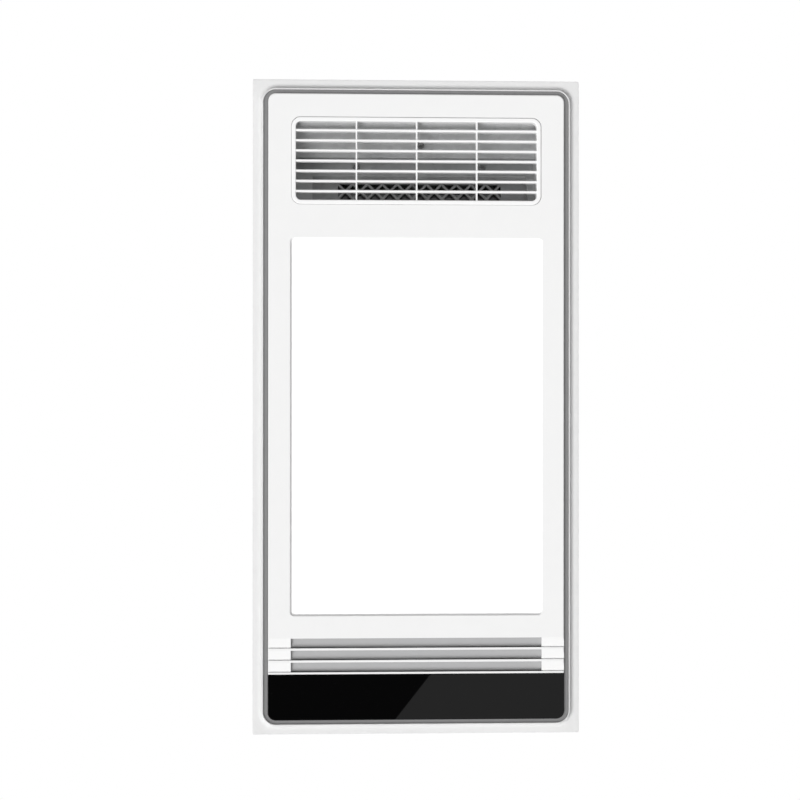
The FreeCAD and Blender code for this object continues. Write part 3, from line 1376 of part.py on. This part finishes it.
def spigot_plate(z):
    half = SPIGOT_FLANGE / 2
    return rounded_plate(about(EXHAUST_X, half), about(EXHAUST_Y, half), RING_RADIUS, z)


def exhaust_spigot():
    end = HOUSING_TOP + SPIGOT_LENGTH
    tube = exhaust_rod(SPIGOT_BORE + SPIGOT_WALL, (SPIGOT_Z, end))
    tube = round_edges(tube, SPIGOT_END, lambda item: level_at(item, end))
    plate = spigot_plate((SPIGOT_Z, SPIGOT_Z + SPIGOT_FLANGE_SHEET))
    spigot = fused([plate, tube]).cut(exhaust_rod(SPIGOT_BORE, (0, 2 * end)))
    stops = []
    gap = BACKDRAFT_SHEET / 2 + SEAT_GAP
    for side in (-1, 1):
        z = sorted((BACKDRAFT_Z + side * gap, BACKDRAFT_Z + side * (gap + BACKDRAFT_STOP)))
        ring = exhaust_rod(SPIGOT_BORE + SPIGOT_WALL / 2, z).cut(exhaust_rod(SPIGOT_BORE - BACKDRAFT_STOP, z))
        clear = BACKDRAFT_Y + side * BACKDRAFT_BARREL * 2
        far = clear + side * SPIGOT_FLANGE
        stops.append(ring.common(box(about(EXHAUST_X, SPIGOT_FLANGE), sorted((clear, far)), z)))
    spigot = fused([spigot] + stops)
    cutters = [screw_hole(point, -AXIS_Z) for point in spigot_screw_points()]
    cutters.append(flap_rod(BACKDRAFT_PIN + RUNNING_GAP, SPIGOT_FLANGE))
    return cut_all(spigot, cutters)


def flap_rod(radius, half):
    x = about(EXHAUST_X, half)
    return cylinder(radius, V(x[0], BACKDRAFT_Y, BACKDRAFT_Z), V(x[1], BACKDRAFT_Y, BACKDRAFT_Z))


def spigot_gasket():
    plate = spigot_plate((HOUSING_TOP, SPIGOT_Z)).cut(exhaust_rod(SPIGOT_BORE, (HOUSING_TOP, SPIGOT_Z)))
    return cut_all(plate, [screw_hole(point, -AXIS_Z) for point in spigot_screw_points()])


def spigot_screws():
    return group([screw(point, -AXIS_Z) for point in spigot_screw_points()])


def backdraft_flap():
    chord = math.sqrt(BACKDRAFT_RADIUS ** 2 - (BACKDRAFT_RAISE + BACKDRAFT_BARREL) ** 2)
    disc = exhaust_rod(BACKDRAFT_RADIUS, about(BACKDRAFT_Z, BACKDRAFT_SHEET / 2))
    flap = fused([disc, flap_rod(BACKDRAFT_BARREL, chord - BACKDRAFT_SHEET)])
    return flap.cut(flap_rod(BACKDRAFT_PIN + RUNNING_GAP, SPIGOT_FLANGE))


def backdraft_pin():
    half = math.sqrt((SPIGOT_BORE + SPIGOT_WALL) ** 2 - (BACKDRAFT_RAISE + BACKDRAFT_PIN) ** 2)
    return flap_rod(BACKDRAFT_PIN, half - RUNNING_GAP)


# Control box

def control_span(inset):
    return about(CONTROL_X, CONTROL_WIDTH / 2 - inset), about(CONTROL_Z, CONTROL_HEIGHT / 2 - inset)


def control_box():
    x, z = control_span(0)
    inner_x, inner_z = control_span(CONTROL_WALL)
    tray = box(x, (CONTROL_BACK, CONTROL_FRONT), z)
    tray = tray.cut(box(inner_x, (CONTROL_BACK + CONTROL_WALL, CONTROL_FRONT), inner_z))
    standoffs = []
    for point in board_corners():
        standoffs.append(cylinder(BOSS_RADIUS, V(point.x, CONTROL_BACK + CONTROL_WALL / 2, point.z),
                                  V(point.x, BOARD_BACK, point.z)))
    for point in cover_screw_points():
        standoffs.append(cylinder(BOSS_RADIUS, V(point.x, CONTROL_BACK + CONTROL_WALL / 2, point.z),
                                  V(point.x, CONTROL_FRONT, point.z)))
    wire_z = CONTROL_Z + CONTROL_HEIGHT / 4
    centre = grommet_centre()
    cutters = [cylinder(WIRE_HOLE, V(CONTROL_X, 0, wire_z), V(CONTROL_X, BOARD_BACK, wire_z)),
               cylinder(GROMMET_NECK + COVER_GAP, centre, centre + V(CONTROL_WIDTH / 2, 0, 0))]
    cutters += [screw_hole(point, -AXIS_Y, SCREW_LENGTH + COVER_SHEET) for point in cover_screw_points()]
    return cut_all(fused([tray] + standoffs), cutters)


def grommet_centre():
    x = CONTROL_X + CONTROL_WIDTH / 2 - 2 * CONTROL_WALL
    return V(x, (CONTROL_BACK + CONTROL_FRONT) / 2, CONTROL_Z + CONTROL_HEIGHT / 4)


def board_corners():
    x = about(board_centre(), BOARD_WIDTH / 2 - BOSS_RADIUS)
    z = about(CONTROL_Z, BOARD_HEIGHT / 2 - BOSS_RADIUS)
    return [V(at_x, 0, at_z) for at_x in x for at_z in z]


def board_centre():
    return CONTROL_X - CONTROL_WIDTH / 2 + CONTROL_WALL + 2 * SCREW_HEAD + BOARD_WIDTH / 2


def control_cover():
    gap = COVER_GAP
    sheet = COVER_SHEET
    x, z = control_span(-gap - sheet)
    inner_x, inner_z = control_span(-gap)
    outer = box(x, (CONTROL_FRONT - COVER_LIP, CONTROL_FRONT + sheet), z)
    cover = outer.cut(box(inner_x, (CONTROL_FRONT - COVER_LIP, CONTROL_FRONT), inner_z))
    return cut_all(cover, [screw_hole(point, -AXIS_Y) for point in cover_screw_points()])


def cover_screws():
    return group([screw(point, -AXIS_Y) for point in cover_screw_points()])


def control_board():
    x = about(board_centre(), BOARD_WIDTH / 2)
    return box(x, (BOARD_BACK, BOARD_FRONT), about(CONTROL_Z, BOARD_HEIGHT / 2))


def board_relays():
    relays = []
    for step in range(RELAY_COUNT):
        x = board_centre() - BOARD_WIDTH / 2 + BOSS_RADIUS + RELAY_WIDTH / 2 + step * RELAY_PITCH
        z = CONTROL_Z + BOARD_HEIGHT / 2 - RELAY_HEIGHT
        relays.append(box(about(x, RELAY_WIDTH / 2), (BOARD_FRONT, BOARD_FRONT + RELAY_DEPTH),
                          about(z, RELAY_HEIGHT / 2)))
    return group(relays)


def run_capacitor():
    x = about(board_centre() - BOARD_WIDTH / 2 + BOSS_RADIUS + CAPACITOR_WIDTH / 2, CAPACITOR_WIDTH / 2)
    z = about(CONTROL_Z - BOARD_HEIGHT / 2 + CAPACITOR_HEIGHT, CAPACITOR_HEIGHT / 2)
    body = box(x, (BOARD_FRONT, BOARD_FRONT + CAPACITOR_DEPTH), z)
    return round_edges(body, FACE_EDGE, lambda item: item.BoundBox.YLength > CAPACITOR_DEPTH / 2)


def terminal_block():
    right = board_centre() + BOARD_WIDTH / 2
    x = (right - TERMINAL_BLOCK_WIDTH, right)
    z = about(CONTROL_Z, TERMINAL_BLOCK_HEIGHT / 2)
    block = box(x, (BOARD_FRONT, BOARD_FRONT + TERMINAL_BLOCK_DEPTH), z)
    wells = []
    pitch = TERMINAL_BLOCK_HEIGHT / TERMINAL_WAYS
    front = BOARD_FRONT + TERMINAL_BLOCK_DEPTH
    for step in range(TERMINAL_WAYS):
        at = V((x[0] + x[1]) / 2, front, z[0] + pitch * (step + 0.5))
        wells.append(cylinder(TERMINAL_WELL, at, at - V(0, TERMINAL_BLOCK_DEPTH / 2, 0)))
    return cut_all(block, wells)


def cable_grommet():
    centre = grommet_centre()
    wall = (CONTROL_X + CONTROL_WIDTH / 2 - CONTROL_WALL, CONTROL_X + CONTROL_WIDTH / 2)
    flange = (GROMMET_LENGTH - CONTROL_WALL) / 2
    pieces = []
    for radius, x in ((GROMMET_RADIUS, (wall[0] - flange, wall[0])), (GROMMET_NECK, wall),
                      (GROMMET_RADIUS, (wall[1], wall[1] + flange))):
        pieces.append(cylinder(radius, V(x[0], centre.y, centre.z), V(x[1], centre.y, centre.z)))
    ring = fused(pieces)
    return ring.cut(cylinder(GROMMET_BORE, V(0, centre.y, centre.z), V(PANEL_WIDTH, centre.y, centre.z)))


NODES = [
    panel_frame, trim_ring, face_panel, outlet_grille, intake_baffle, accent_strip,
    light_diffuser, light_guide, light_reflector, led_bars, led_chips, light_tray, light_screws, led_driver,
    panel_clips, housing_box, hanger_brackets, hanger_rivets,
    outlet_hood, hood_screws, heater_plate, heater_guard, heater_screws, ptc_tubes, ptc_fins, heater_caps,
    heater_terminals, thermal_cutout, air_duct,
    diverter_case, diverter_cover, diverter_flap, diverter_motor, diverter_screws,
    scroll_case, scroll_cover, fan_wheel, motor_shaft, wheel_nut, fan_motor, motor_bushes, motor_screws,
    scroll_posts, scroll_screws,
    exhaust_spigot, spigot_gasket, spigot_screws, backdraft_flap, backdraft_pin,
    control_box, control_cover, cover_screws, control_board, board_relays, run_capacitor, terminal_block,
    cable_grommet,
]


def main():
    os.makedirs("parts", exist_ok=True)
    for maker in NODES:
        shape = maker()
        name = maker.__name__
        print(name, "solids", len(shape.Solids), "volume", round(shape.Volume, 1), "valid", shape.isValid())
        shape.exportStep("parts/" + name + ".step")


main()
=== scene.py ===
import json
import math

import bmesh
import bpy
from mathutils import Matrix, Vector


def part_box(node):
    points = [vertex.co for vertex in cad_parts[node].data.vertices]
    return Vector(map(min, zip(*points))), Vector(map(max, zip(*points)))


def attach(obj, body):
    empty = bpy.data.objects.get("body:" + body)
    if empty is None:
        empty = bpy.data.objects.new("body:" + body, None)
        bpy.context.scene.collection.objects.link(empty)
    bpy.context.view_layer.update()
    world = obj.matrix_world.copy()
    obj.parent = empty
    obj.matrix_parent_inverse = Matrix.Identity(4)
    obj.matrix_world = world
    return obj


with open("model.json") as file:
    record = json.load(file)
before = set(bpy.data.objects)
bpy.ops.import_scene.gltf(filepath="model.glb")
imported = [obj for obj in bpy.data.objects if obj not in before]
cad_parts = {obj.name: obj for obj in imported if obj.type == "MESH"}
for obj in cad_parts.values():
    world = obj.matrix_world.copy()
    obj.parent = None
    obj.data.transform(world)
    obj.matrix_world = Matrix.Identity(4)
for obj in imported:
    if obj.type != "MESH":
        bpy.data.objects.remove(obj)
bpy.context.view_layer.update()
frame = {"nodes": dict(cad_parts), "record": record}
scene = bpy.context.scene
scene.view_settings.view_transform = "Standard"

# The camera hangs below the panel and looks up at it, a little from one side.
CAMERA_PLACE = Vector((-0.0951, -0.0002, -1.75))
CAMERA_TILT = math.radians(-0.196)
CAMERA_YAW = math.radians(-2.625)
CAMERA_ROLL = math.radians(0.021)
CAMERA_LENS = 85.7
CAMERA_SENSOR = 36.0

# The floor lies well below the panel. Its glow is only seen, and lights nothing.
FLOOR_DROP = 2.4
FLOOR_HALF = 30.0
FLOOR_GREY = (0.86, 0.86, 0.86)
FLOOR_GLOW = 0.72

# Edges of the dark card beside the camera. Its slanting end makes the slanting edge in the strip's gloss.
CARD_LEFT = -1.0
CARD_NEAR = 0.487
CARD_FAR = 0.584
CARD_FAR_LEFT = 0.6
CARD_NEAR_RIGHT = 0.1234
CARD_FAR_RIGHT = 0.047

# The key shines up at the face, and two wide lamps light the housing from above.
WORLD_LIGHT = 0.19
BACKDROP_LIGHT = 1.0
KEY_FROM = (-0.8, 0.8, -1.35)
KEY_ENERGY = 2.9
KEY_SPREAD = math.radians(32)
UPPER_AIM = (0.0, 0.0, 0.07)
UPPER_KEY_PLACE = (1.2, -1.8, 1.9)
UPPER_KEY_SIZE = 3.2
UPPER_KEY_ENERGY = 36.0
UPPER_FILL_PLACE = (-1.8, 1.2, 1.4)
UPPER_FILL_SIZE = 2.6
UPPER_FILL_ENERGY = 18.0
WHITE = (1.0, 1.0, 1.0, 1.0)


class Surface:
    """A Principled material and the texture nodes that feed it."""

    # The middle part of a noise's values, which holds nearly all of them.
    LOW, HIGH = 0.3, 0.7

    def __init__(self, name, **sockets):
        self.material = bpy.data.materials.new(name)
        self.material.use_nodes = True
        self.nodes = self.material.node_tree.nodes
        self.links = self.material.node_tree.links
        self.shader = self.nodes["Principled BSDF"]
        self.place = self.nodes.new("ShaderNodeTexCoord").outputs["Object"]
        for socket, value in sockets.items():
            self.shader.inputs[socket.replace("_", " ")].default_value = value

    def stretched(self, scale):
        mapping = self.nodes.new("ShaderNodeMapping")
        mapping.inputs["Scale"].default_value = scale
        self.links.new(self.place, mapping.inputs["Vector"])
        return mapping.outputs["Vector"]

    def noise(self, scale, detail=3.0, stretch=None):
        node = self.nodes.new("ShaderNodeTexNoise")
        node.inputs["Scale"].default_value = scale
        node.inputs["Detail"].default_value = detail
        self.links.new(self.stretched(stretch) if stretch else self.place, node.inputs["Vector"])
        return node.outputs["Fac"]

    def cells(self, scale):
        node = self.nodes.new("ShaderNodeTexVoronoi")
        node.inputs["Scale"].default_value = scale
        self.links.new(self.place, node.inputs["Vector"])
        split = self.nodes.new("ShaderNodeSeparateColor")
        self.links.new(node.outputs["Color"], split.inputs["Color"])
        return split.outputs["Red"]

    def ramp(self, source, low, high, start=LOW, end=HIGH):
        node = self.nodes.new("ShaderNodeValToRGB")
        node.color_ramp.elements[0].position = start
        node.color_ramp.elements[0].color = low
        node.color_ramp.elements[1].position = end
        node.color_ramp.elements[1].color = high
        self.links.new(source, node.inputs["Fac"])
        return node.outputs["Color"]

    def colour(self, source, low, high, **span):
        self.links.new(self.ramp(source, low, high, **span), self.shader.inputs["Base Color"])

    def roughness(self, source, low, high):
        node = self.nodes.new("ShaderNodeMapRange")
        node.inputs["From Min"].default_value = self.LOW
        node.inputs["From Max"].default_value = self.HIGH
        node.inputs["To Min"].default_value = low
        node.inputs["To Max"].default_value = high
        self.links.new(source, node.inputs["Value"])
        self.links.new(node.outputs["Result"], self.shader.inputs["Roughness"])

    def bump(self, source, strength, distance):
        node = self.nodes.new("ShaderNodeBump")
        node.inputs["Strength"].default_value = strength
        node.inputs["Distance"].default_value = distance
        self.links.new(source, node.inputs["Height"])
        self.links.new(node.outputs["Normal"], self.shader.inputs["Normal"])
        return self


def shade(rgb, factor):
    return (rgb[0] * factor, rgb[1] * factor, rgb[2] * factor, 1.0)


def moulded(name, rgb, low, high, grain=700.0, depth=0.00004, **sockets):
    """Moulded plastic with a faint mottle and a fine grain."""
    surface = Surface(name, **sockets)
    surface.colour(surface.noise(scale=55.0), shade(rgb, 0.99), shade(rgb, 1.0))
    surface.roughness(surface.noise(scale=90.0), low, high)
    return surface.bump(surface.noise(grain, detail=2.0), strength=0.12, distance=depth).material


def sheet_metal(name, rgb, low, high, spangle=210.0, metallic=0.7):
    """Zinc coated sheet, with flat crystals that differ a little in tone and gloss."""
    surface = Surface(name, Metallic=metallic)
    crystal = surface.cells(spangle)
    surface.colour(crystal, shade(rgb, 0.9), shade(rgb, 1.0), start=0.0, end=1.0)
    surface.roughness(crystal, low, high)
    return surface.bump(surface.noise(scale=900.0, detail=2.0), strength=0.06, distance=0.00004).material


def brushed(name, rgb, low, high, stretch, scale=120.0, metallic=1.0):
    """Metal with fine lines along one direction."""
    surface = Surface(name, Metallic=metallic)
    lines = surface.noise(scale, detail=5.0, stretch=stretch)
    surface.colour(lines, shade(rgb, 0.9), shade(rgb, 1.0))
    surface.roughness(lines, low, high)
    return surface.bump(lines, strength=0.06, distance=0.00005).material


def lit_panel(name):
    """Opal sheet that glows evenly, with a fine frosted face."""
    surface = Surface(name, Emission_Strength=0.12)
    surface.shader.inputs["Emission Color"].default_value = WHITE
    surface.colour(surface.noise(scale=9.0), shade(WHITE, 0.95), shade(WHITE, 0.96))
    surface.roughness(surface.noise(scale=60.0), low=0.34, high=0.42)
    return surface.bump(surface.noise(scale=1500.0, detail=1.0), strength=0.05, distance=0.00002).material


def board(name, rgb):
    """Circuit board with solder mask over copper tracks."""
    surface = Surface(name)
    tracks = surface.cells(scale=160.0)
    surface.colour(tracks, shade(rgb, 0.8), shade(rgb, 1.25), start=0.35, end=0.6)
    surface.roughness(surface.noise(scale=80.0), low=0.3, high=0.45)
    return surface.bump(tracks, strength=0.1, distance=0.00005).material


FACE_WHITE = (0.92, 0.92, 0.918)
FRAME_WHITE = (0.82, 0.82, 0.819)
GRILLE_WHITE = (0.965, 0.965, 0.963)
GLOSS = {"Coat_Weight": 0.12, "Coat_Roughness": 0.12}
SOFT = {"Subsurface_Weight": 0.8, "Subsurface_Scale": 0.003, "Subsurface_Radius": (1.0, 1.0, 1.0)}
BLACK = (0.0018, 0.0018, 0.0019)
EVEN = (1.0, 1.0, 1.0)
MATERIALS = {
    "white_plastic": moulded("white_plastic", FACE_WHITE, 0.3, 0.33, **GLOSS),
    "frame_plastic": moulded("frame_plastic", FRAME_WHITE, 0.34, 0.38, **SOFT, **GLOSS),
    "grille_plastic": moulded("grille_plastic", GRILLE_WHITE, 0.3, 0.33, **GLOSS),
    "trim_metal": brushed("trim_metal", (0.27, 0.27, 0.272), 0.5, 0.6, (1.0, 1.0, 9.0), metallic=0.35),
    "black_gloss": moulded("black_gloss", BLACK, 0.004, 0.008, 300.0, 0.000001, Specular_IOR_Level=0.2),
    "diffuser": lit_panel("diffuser"),
    "clear_guide": moulded("clear_guide", (0.85, 0.88, 0.9), 0.06, 0.1),
    "reflector": moulded("reflector", (0.92, 0.92, 0.92), 0.5, 0.6),
    "circuit": board("circuit", (0.05, 0.2, 0.09)),
    "chip": moulded("chip", (0.9, 0.75, 0.25), 0.35, 0.5),
    "tray_metal": moulded("tray_metal", (0.75, 0.75, 0.74), 0.35, 0.45),
    "galvanised": sheet_metal("galvanised", (0.68, 0.69, 0.7), 0.36, 0.52, metallic=0.35),
    # Painted shade: the outlet's hood and heater plate are darker copies of the housing's zinc sheet, the
    # plate much darker, standing in for the shade deep in the outlet.
    "duct_metal": sheet_metal("duct_metal", (0.65, 0.655, 0.66), 0.45, 0.6, metallic=0.1),
    "plate_metal_painted_shade": sheet_metal("plate_metal_painted_shade", (0.48, 0.484, 0.488), 0.45, 0.6, metallic=0.1),
    "duct_screw": brushed("duct_screw", (0.3, 0.3, 0.303), 0.35, 0.5, EVEN, 600.0, metallic=0.4),
    "screw_steel": brushed("screw_steel", (0.3, 0.3, 0.305), 0.25, 0.4, EVEN, 600.0),
    "spring_steel": brushed("spring_steel", (0.42, 0.42, 0.44), 0.25, 0.38, (1.0, 6.0, 1.0)),
    "grey_plastic": moulded("grey_plastic", (0.3, 0.305, 0.31), 0.42, 0.55, 500.0, 0.0001),
    "dark_plastic": moulded("dark_plastic", (0.045, 0.045, 0.047), 0.4, 0.52, 500.0, 0.0001),
    "pale_plastic": moulded("pale_plastic", (0.7, 0.7, 0.67), 0.36, 0.48, 500.0, 0.0001),
    "dark_aluminium": brushed("dark_aluminium", (0.18, 0.18, 0.184), 0.35, 0.5, (8.0, 1.0, 1.0)),
    "guard_steel": sheet_metal("guard_steel", (0.36, 0.36, 0.365), 0.42, 0.55, 300.0, 0.3),
    "baffle_grey": moulded("baffle_grey", (0.435, 0.435, 0.439), 0.42, 0.52),
    "brass": brushed("brass", (0.75, 0.6, 0.3), 0.25, 0.4, EVEN, 400.0),
    "rubber": moulded("rubber", (0.025, 0.025, 0.026), 0.6, 0.75, 420.0, 0.00015),
    "motor_steel": moulded("motor_steel", (0.16, 0.165, 0.17), 0.32, 0.46, 320.0, 0.0001),
    "shaft_steel": brushed("shaft_steel", (0.62, 0.62, 0.63), 0.18, 0.3, (1.0, 1.0, 12.0)),
    "relay_blue": moulded("relay_blue", (0.03, 0.09, 0.3), 0.3, 0.42),
    "weld_spot": brushed("weld_spot", (0.42, 0.42, 0.43), 0.35, 0.5, EVEN, 700.0, metallic=0.35),
}

# The frame's white is set darker and the grille's lighter than the face's. The outlet's sheets and screws
# are less metallic than the rest, and its sheets carry painted shade: the hood's zinc is a little darker
# and the heater plate's much darker than the housing's, for the depth of the outlet.
OWN_MATERIAL = {"panel_frame": "frame_plastic", "outlet_grille": "grille_plastic",
                "outlet_hood": "duct_metal", "heater_plate": "plate_metal_painted_shade",
                "hood_screws": "duct_screw", "heater_screws": "duct_screw"}
for part in frame["record"]["subparts"]:
    mesh = frame["nodes"][part["node"]].data
    mesh.materials.clear()
    mesh.materials.append(MATERIALS[OWN_MATERIAL.get(part["node"], part["material_slot"])])


# Spot welds along the housing's corners, each a flat pan in a low rim: radius and height of the rings.
WELD_RINGS = ((0.0015, 0.00002), (0.0019, 0.00012), (0.0024, 0.00012), (0.0027, -0.0001))
WELD_SIDES = 20
WELD_INSET = 0.009
WELD_COLUMN = 6
WELD_ROW = 8


def spread(low, high, count):
    """Evenly spaced values that start and end WELD_INSET inside a stretch."""
    step = (high - low - 2 * WELD_INSET) / (count - 1)
    return [low + WELD_INSET + step * number for number in range(count)]


def add_welds(name, spots, surface):
    work = bmesh.new()
    turns = [math.tau * number / WELD_SIDES for number in range(WELD_SIDES)]
    for place, facing in spots:
        tilt = Vector(facing).to_track_quat("Z", "Y")
        rings = []
        for radius, height in WELD_RINGS:
            rims = [Vector((radius * math.cos(a), radius * math.sin(a), height)) for a in turns]
            rings.append([work.verts.new(Vector(place) + tilt @ rim) for rim in rims])
        for inner, outer in zip(rings, rings[1:]):
            for now in range(WELD_SIDES):
                side = work.faces.new((inner[now - 1], outer[now - 1], outer[now], inner[now]))
                side.smooth = True
        work.faces.new(rings[0])
        work.faces.new(rings[-1])
    bmesh.ops.recalc_face_normals(work, faces=work.faces)
    mesh = bpy.data.meshes.new(name)
    work.to_mesh(mesh)
    work.free()
    mesh.materials.append(surface)
    piece = bpy.data.objects.new(name, mesh)
    scene.collection.objects.link(piece)
    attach(piece, "housing")


# The housing's box takes in its rim, and the control box stands on its end wall.
wall_low, wall_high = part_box("housing_box")
rim = wall_high.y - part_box("control_box")[0].y
wall_low += Vector((rim, rim, 0.0))
wall_high -= Vector((rim, rim, 0.0))
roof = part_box("spigot_gasket")[0].z
ends = (wall_low.y + WELD_INSET, wall_high.y - WELD_INSET)
welds = [((x, y, z), (x, 0.0, 0.0)) for x in (wall_low.x, wall_high.x) for y in ends
         for z in spread(wall_low.z, roof, WELD_COLUMN)]
welds += [((x, y, roof), (0.0, 0.0, 1.0)) for y in ends for x in spread(wall_low.x, wall_high.x, WELD_ROW)]
add_welds("spot_welds", welds, MATERIALS["weld_spot"])


def seen_directly(tree):
    """1 for the camera's own rays and for what metal and glass show, 0 for light on a surface."""
    path = tree.nodes.new("ShaderNodeLightPath")
    seen = path.outputs["Is Camera Ray"]
    for ray in ("Is Glossy Ray", "Is Transmission Ray"):
        either = tree.nodes.new("ShaderNodeMath")
        either.operation = "MAXIMUM"
        tree.links.new(seen, either.inputs[0])
        tree.links.new(path.outputs[ray], either.inputs[1])
        seen = either.outputs["Value"]
    return seen


def add_stage(name, corners, surface, **seen):
    mesh = bpy.data.meshes.new(name)
    mesh.from_pydata(corners, [], [tuple(range(len(corners)))])
    mesh.materials.append(surface)
    piece = bpy.data.objects.new(name, mesh)
    scene.collection.objects.link(piece)
    for ray, shown in seen.items():
        setattr(piece, "visible_" + ray, shown)


def floor_paint():
    """Pale floor that looks as white as the backdrop and throws no light of its own on the object."""
    surface = Surface("floor_paint")
    surface.colour(surface.noise(scale=3.0), shade(FLOOR_GREY, 0.99), shade(FLOOR_GREY, 1.0))
    surface.roughness(surface.noise(scale=12.0), low=0.7, high=0.8)
    surface.shader.inputs["Emission Color"].default_value = WHITE
    light = surface.nodes.new("ShaderNodeMath")
    light.operation = "MULTIPLY"
    light.inputs[1].default_value = FLOOR_GLOW
    surface.links.new(seen_directly(surface.material.node_tree), light.inputs[0])
    surface.links.new(light.outputs["Value"], surface.shader.inputs["Emission Strength"])
    return surface.material


square = ((-1, -1), (1, -1), (1, 1), (-1, 1))
floor_corners = [(x * FLOOR_HALF, y * FLOOR_HALF, -FLOOR_DROP) for x, y in square]
add_stage("floor", floor_corners, floor_paint(), shadow=False)

# Only the glossy strip mirrors the card.
card_outline = ((CARD_LEFT, CARD_NEAR), (CARD_NEAR_RIGHT, CARD_NEAR), (CARD_FAR_RIGHT, CARD_FAR),
                (CARD_LEFT, CARD_FAR_LEFT))
add_stage("dark_card", [(x, y, CAMERA_PLACE.z) for x, y in card_outline],
          moulded("card_paint", (0.004, 0.004, 0.004), 0.8, 0.9),
          camera=False, diffuse=False, shadow=False, transmission=False)


def add_lamp(name, kind, place, aim, energy):
    data = bpy.data.lights.new(name, kind)
    data.energy = energy
    lamp = bpy.data.objects.new(name, data)
    lamp.location = place
    lamp.rotation_mode = "QUATERNION"
    lamp.rotation_quaternion = (Vector(aim) - Vector(place)).to_track_quat("-Z", "Y")
    scene.collection.objects.link(lamp)
    return lamp


def add_panel(name, place, size, energy):
    """Square lamp that faces the housing and isn't seen itself."""
    lamp = add_lamp(name, "AREA", place, UPPER_AIM, energy)
    lamp.data.size = size
    lamp.visible_camera = False


# The key leaves no glare, so the white mouldings keep their colour from every side.
key = add_lamp("key", "SUN", KEY_FROM, (0.0, 0.0, 0.0), KEY_ENERGY)
key.data.angle = KEY_SPREAD
key.visible_glossy = False
add_panel("upper_key", UPPER_KEY_PLACE, UPPER_KEY_SIZE, UPPER_KEY_ENERGY)
add_panel("upper_fill", UPPER_FILL_PLACE, UPPER_FILL_SIZE, UPPER_FILL_ENERGY)

world = bpy.data.worlds.new("studio")
scene.world = world
world.use_nodes = True
tree = world.node_tree
ambient = tree.nodes["Background"]
ambient.inputs["Color"].default_value = WHITE
ambient.inputs["Strength"].default_value = WORLD_LIGHT
backdrop = tree.nodes.new("ShaderNodeBackground")
backdrop.inputs["Color"].default_value = WHITE
backdrop.inputs["Strength"].default_value = BACKDROP_LIGHT
choice = tree.nodes.new("ShaderNodeMixShader")
tree.links.new(seen_directly(tree), choice.inputs["Fac"])
tree.links.new(ambient.outputs["Background"], choice.inputs[1])
tree.links.new(backdrop.outputs["Background"], choice.inputs[2])
tree.links.new(choice.outputs["Shader"], tree.nodes["World Output"].inputs["Surface"])

# Rows of the turned frame: image right, image down and the way the camera looks.
turn = (Matrix.Rotation(CAMERA_ROLL, 3, "Z") @ Matrix.Rotation(CAMERA_TILT, 3, "X")
        @ Matrix.Rotation(CAMERA_YAW, 3, "Y"))
camera_data = bpy.data.cameras.new("camera")
camera_data.lens = CAMERA_LENS
camera_data.sensor_width = CAMERA_SENSOR
camera = bpy.data.objects.new("camera", camera_data)
scene.collection.objects.link(camera)
columns = Matrix((turn[0], -turn[1], -turn[2])).transposed()
camera.matrix_world = Matrix.Translation(CAMERA_PLACE) @ columns.to_4x4()
scene.camera = camera

bpy.context.view_layer.update()
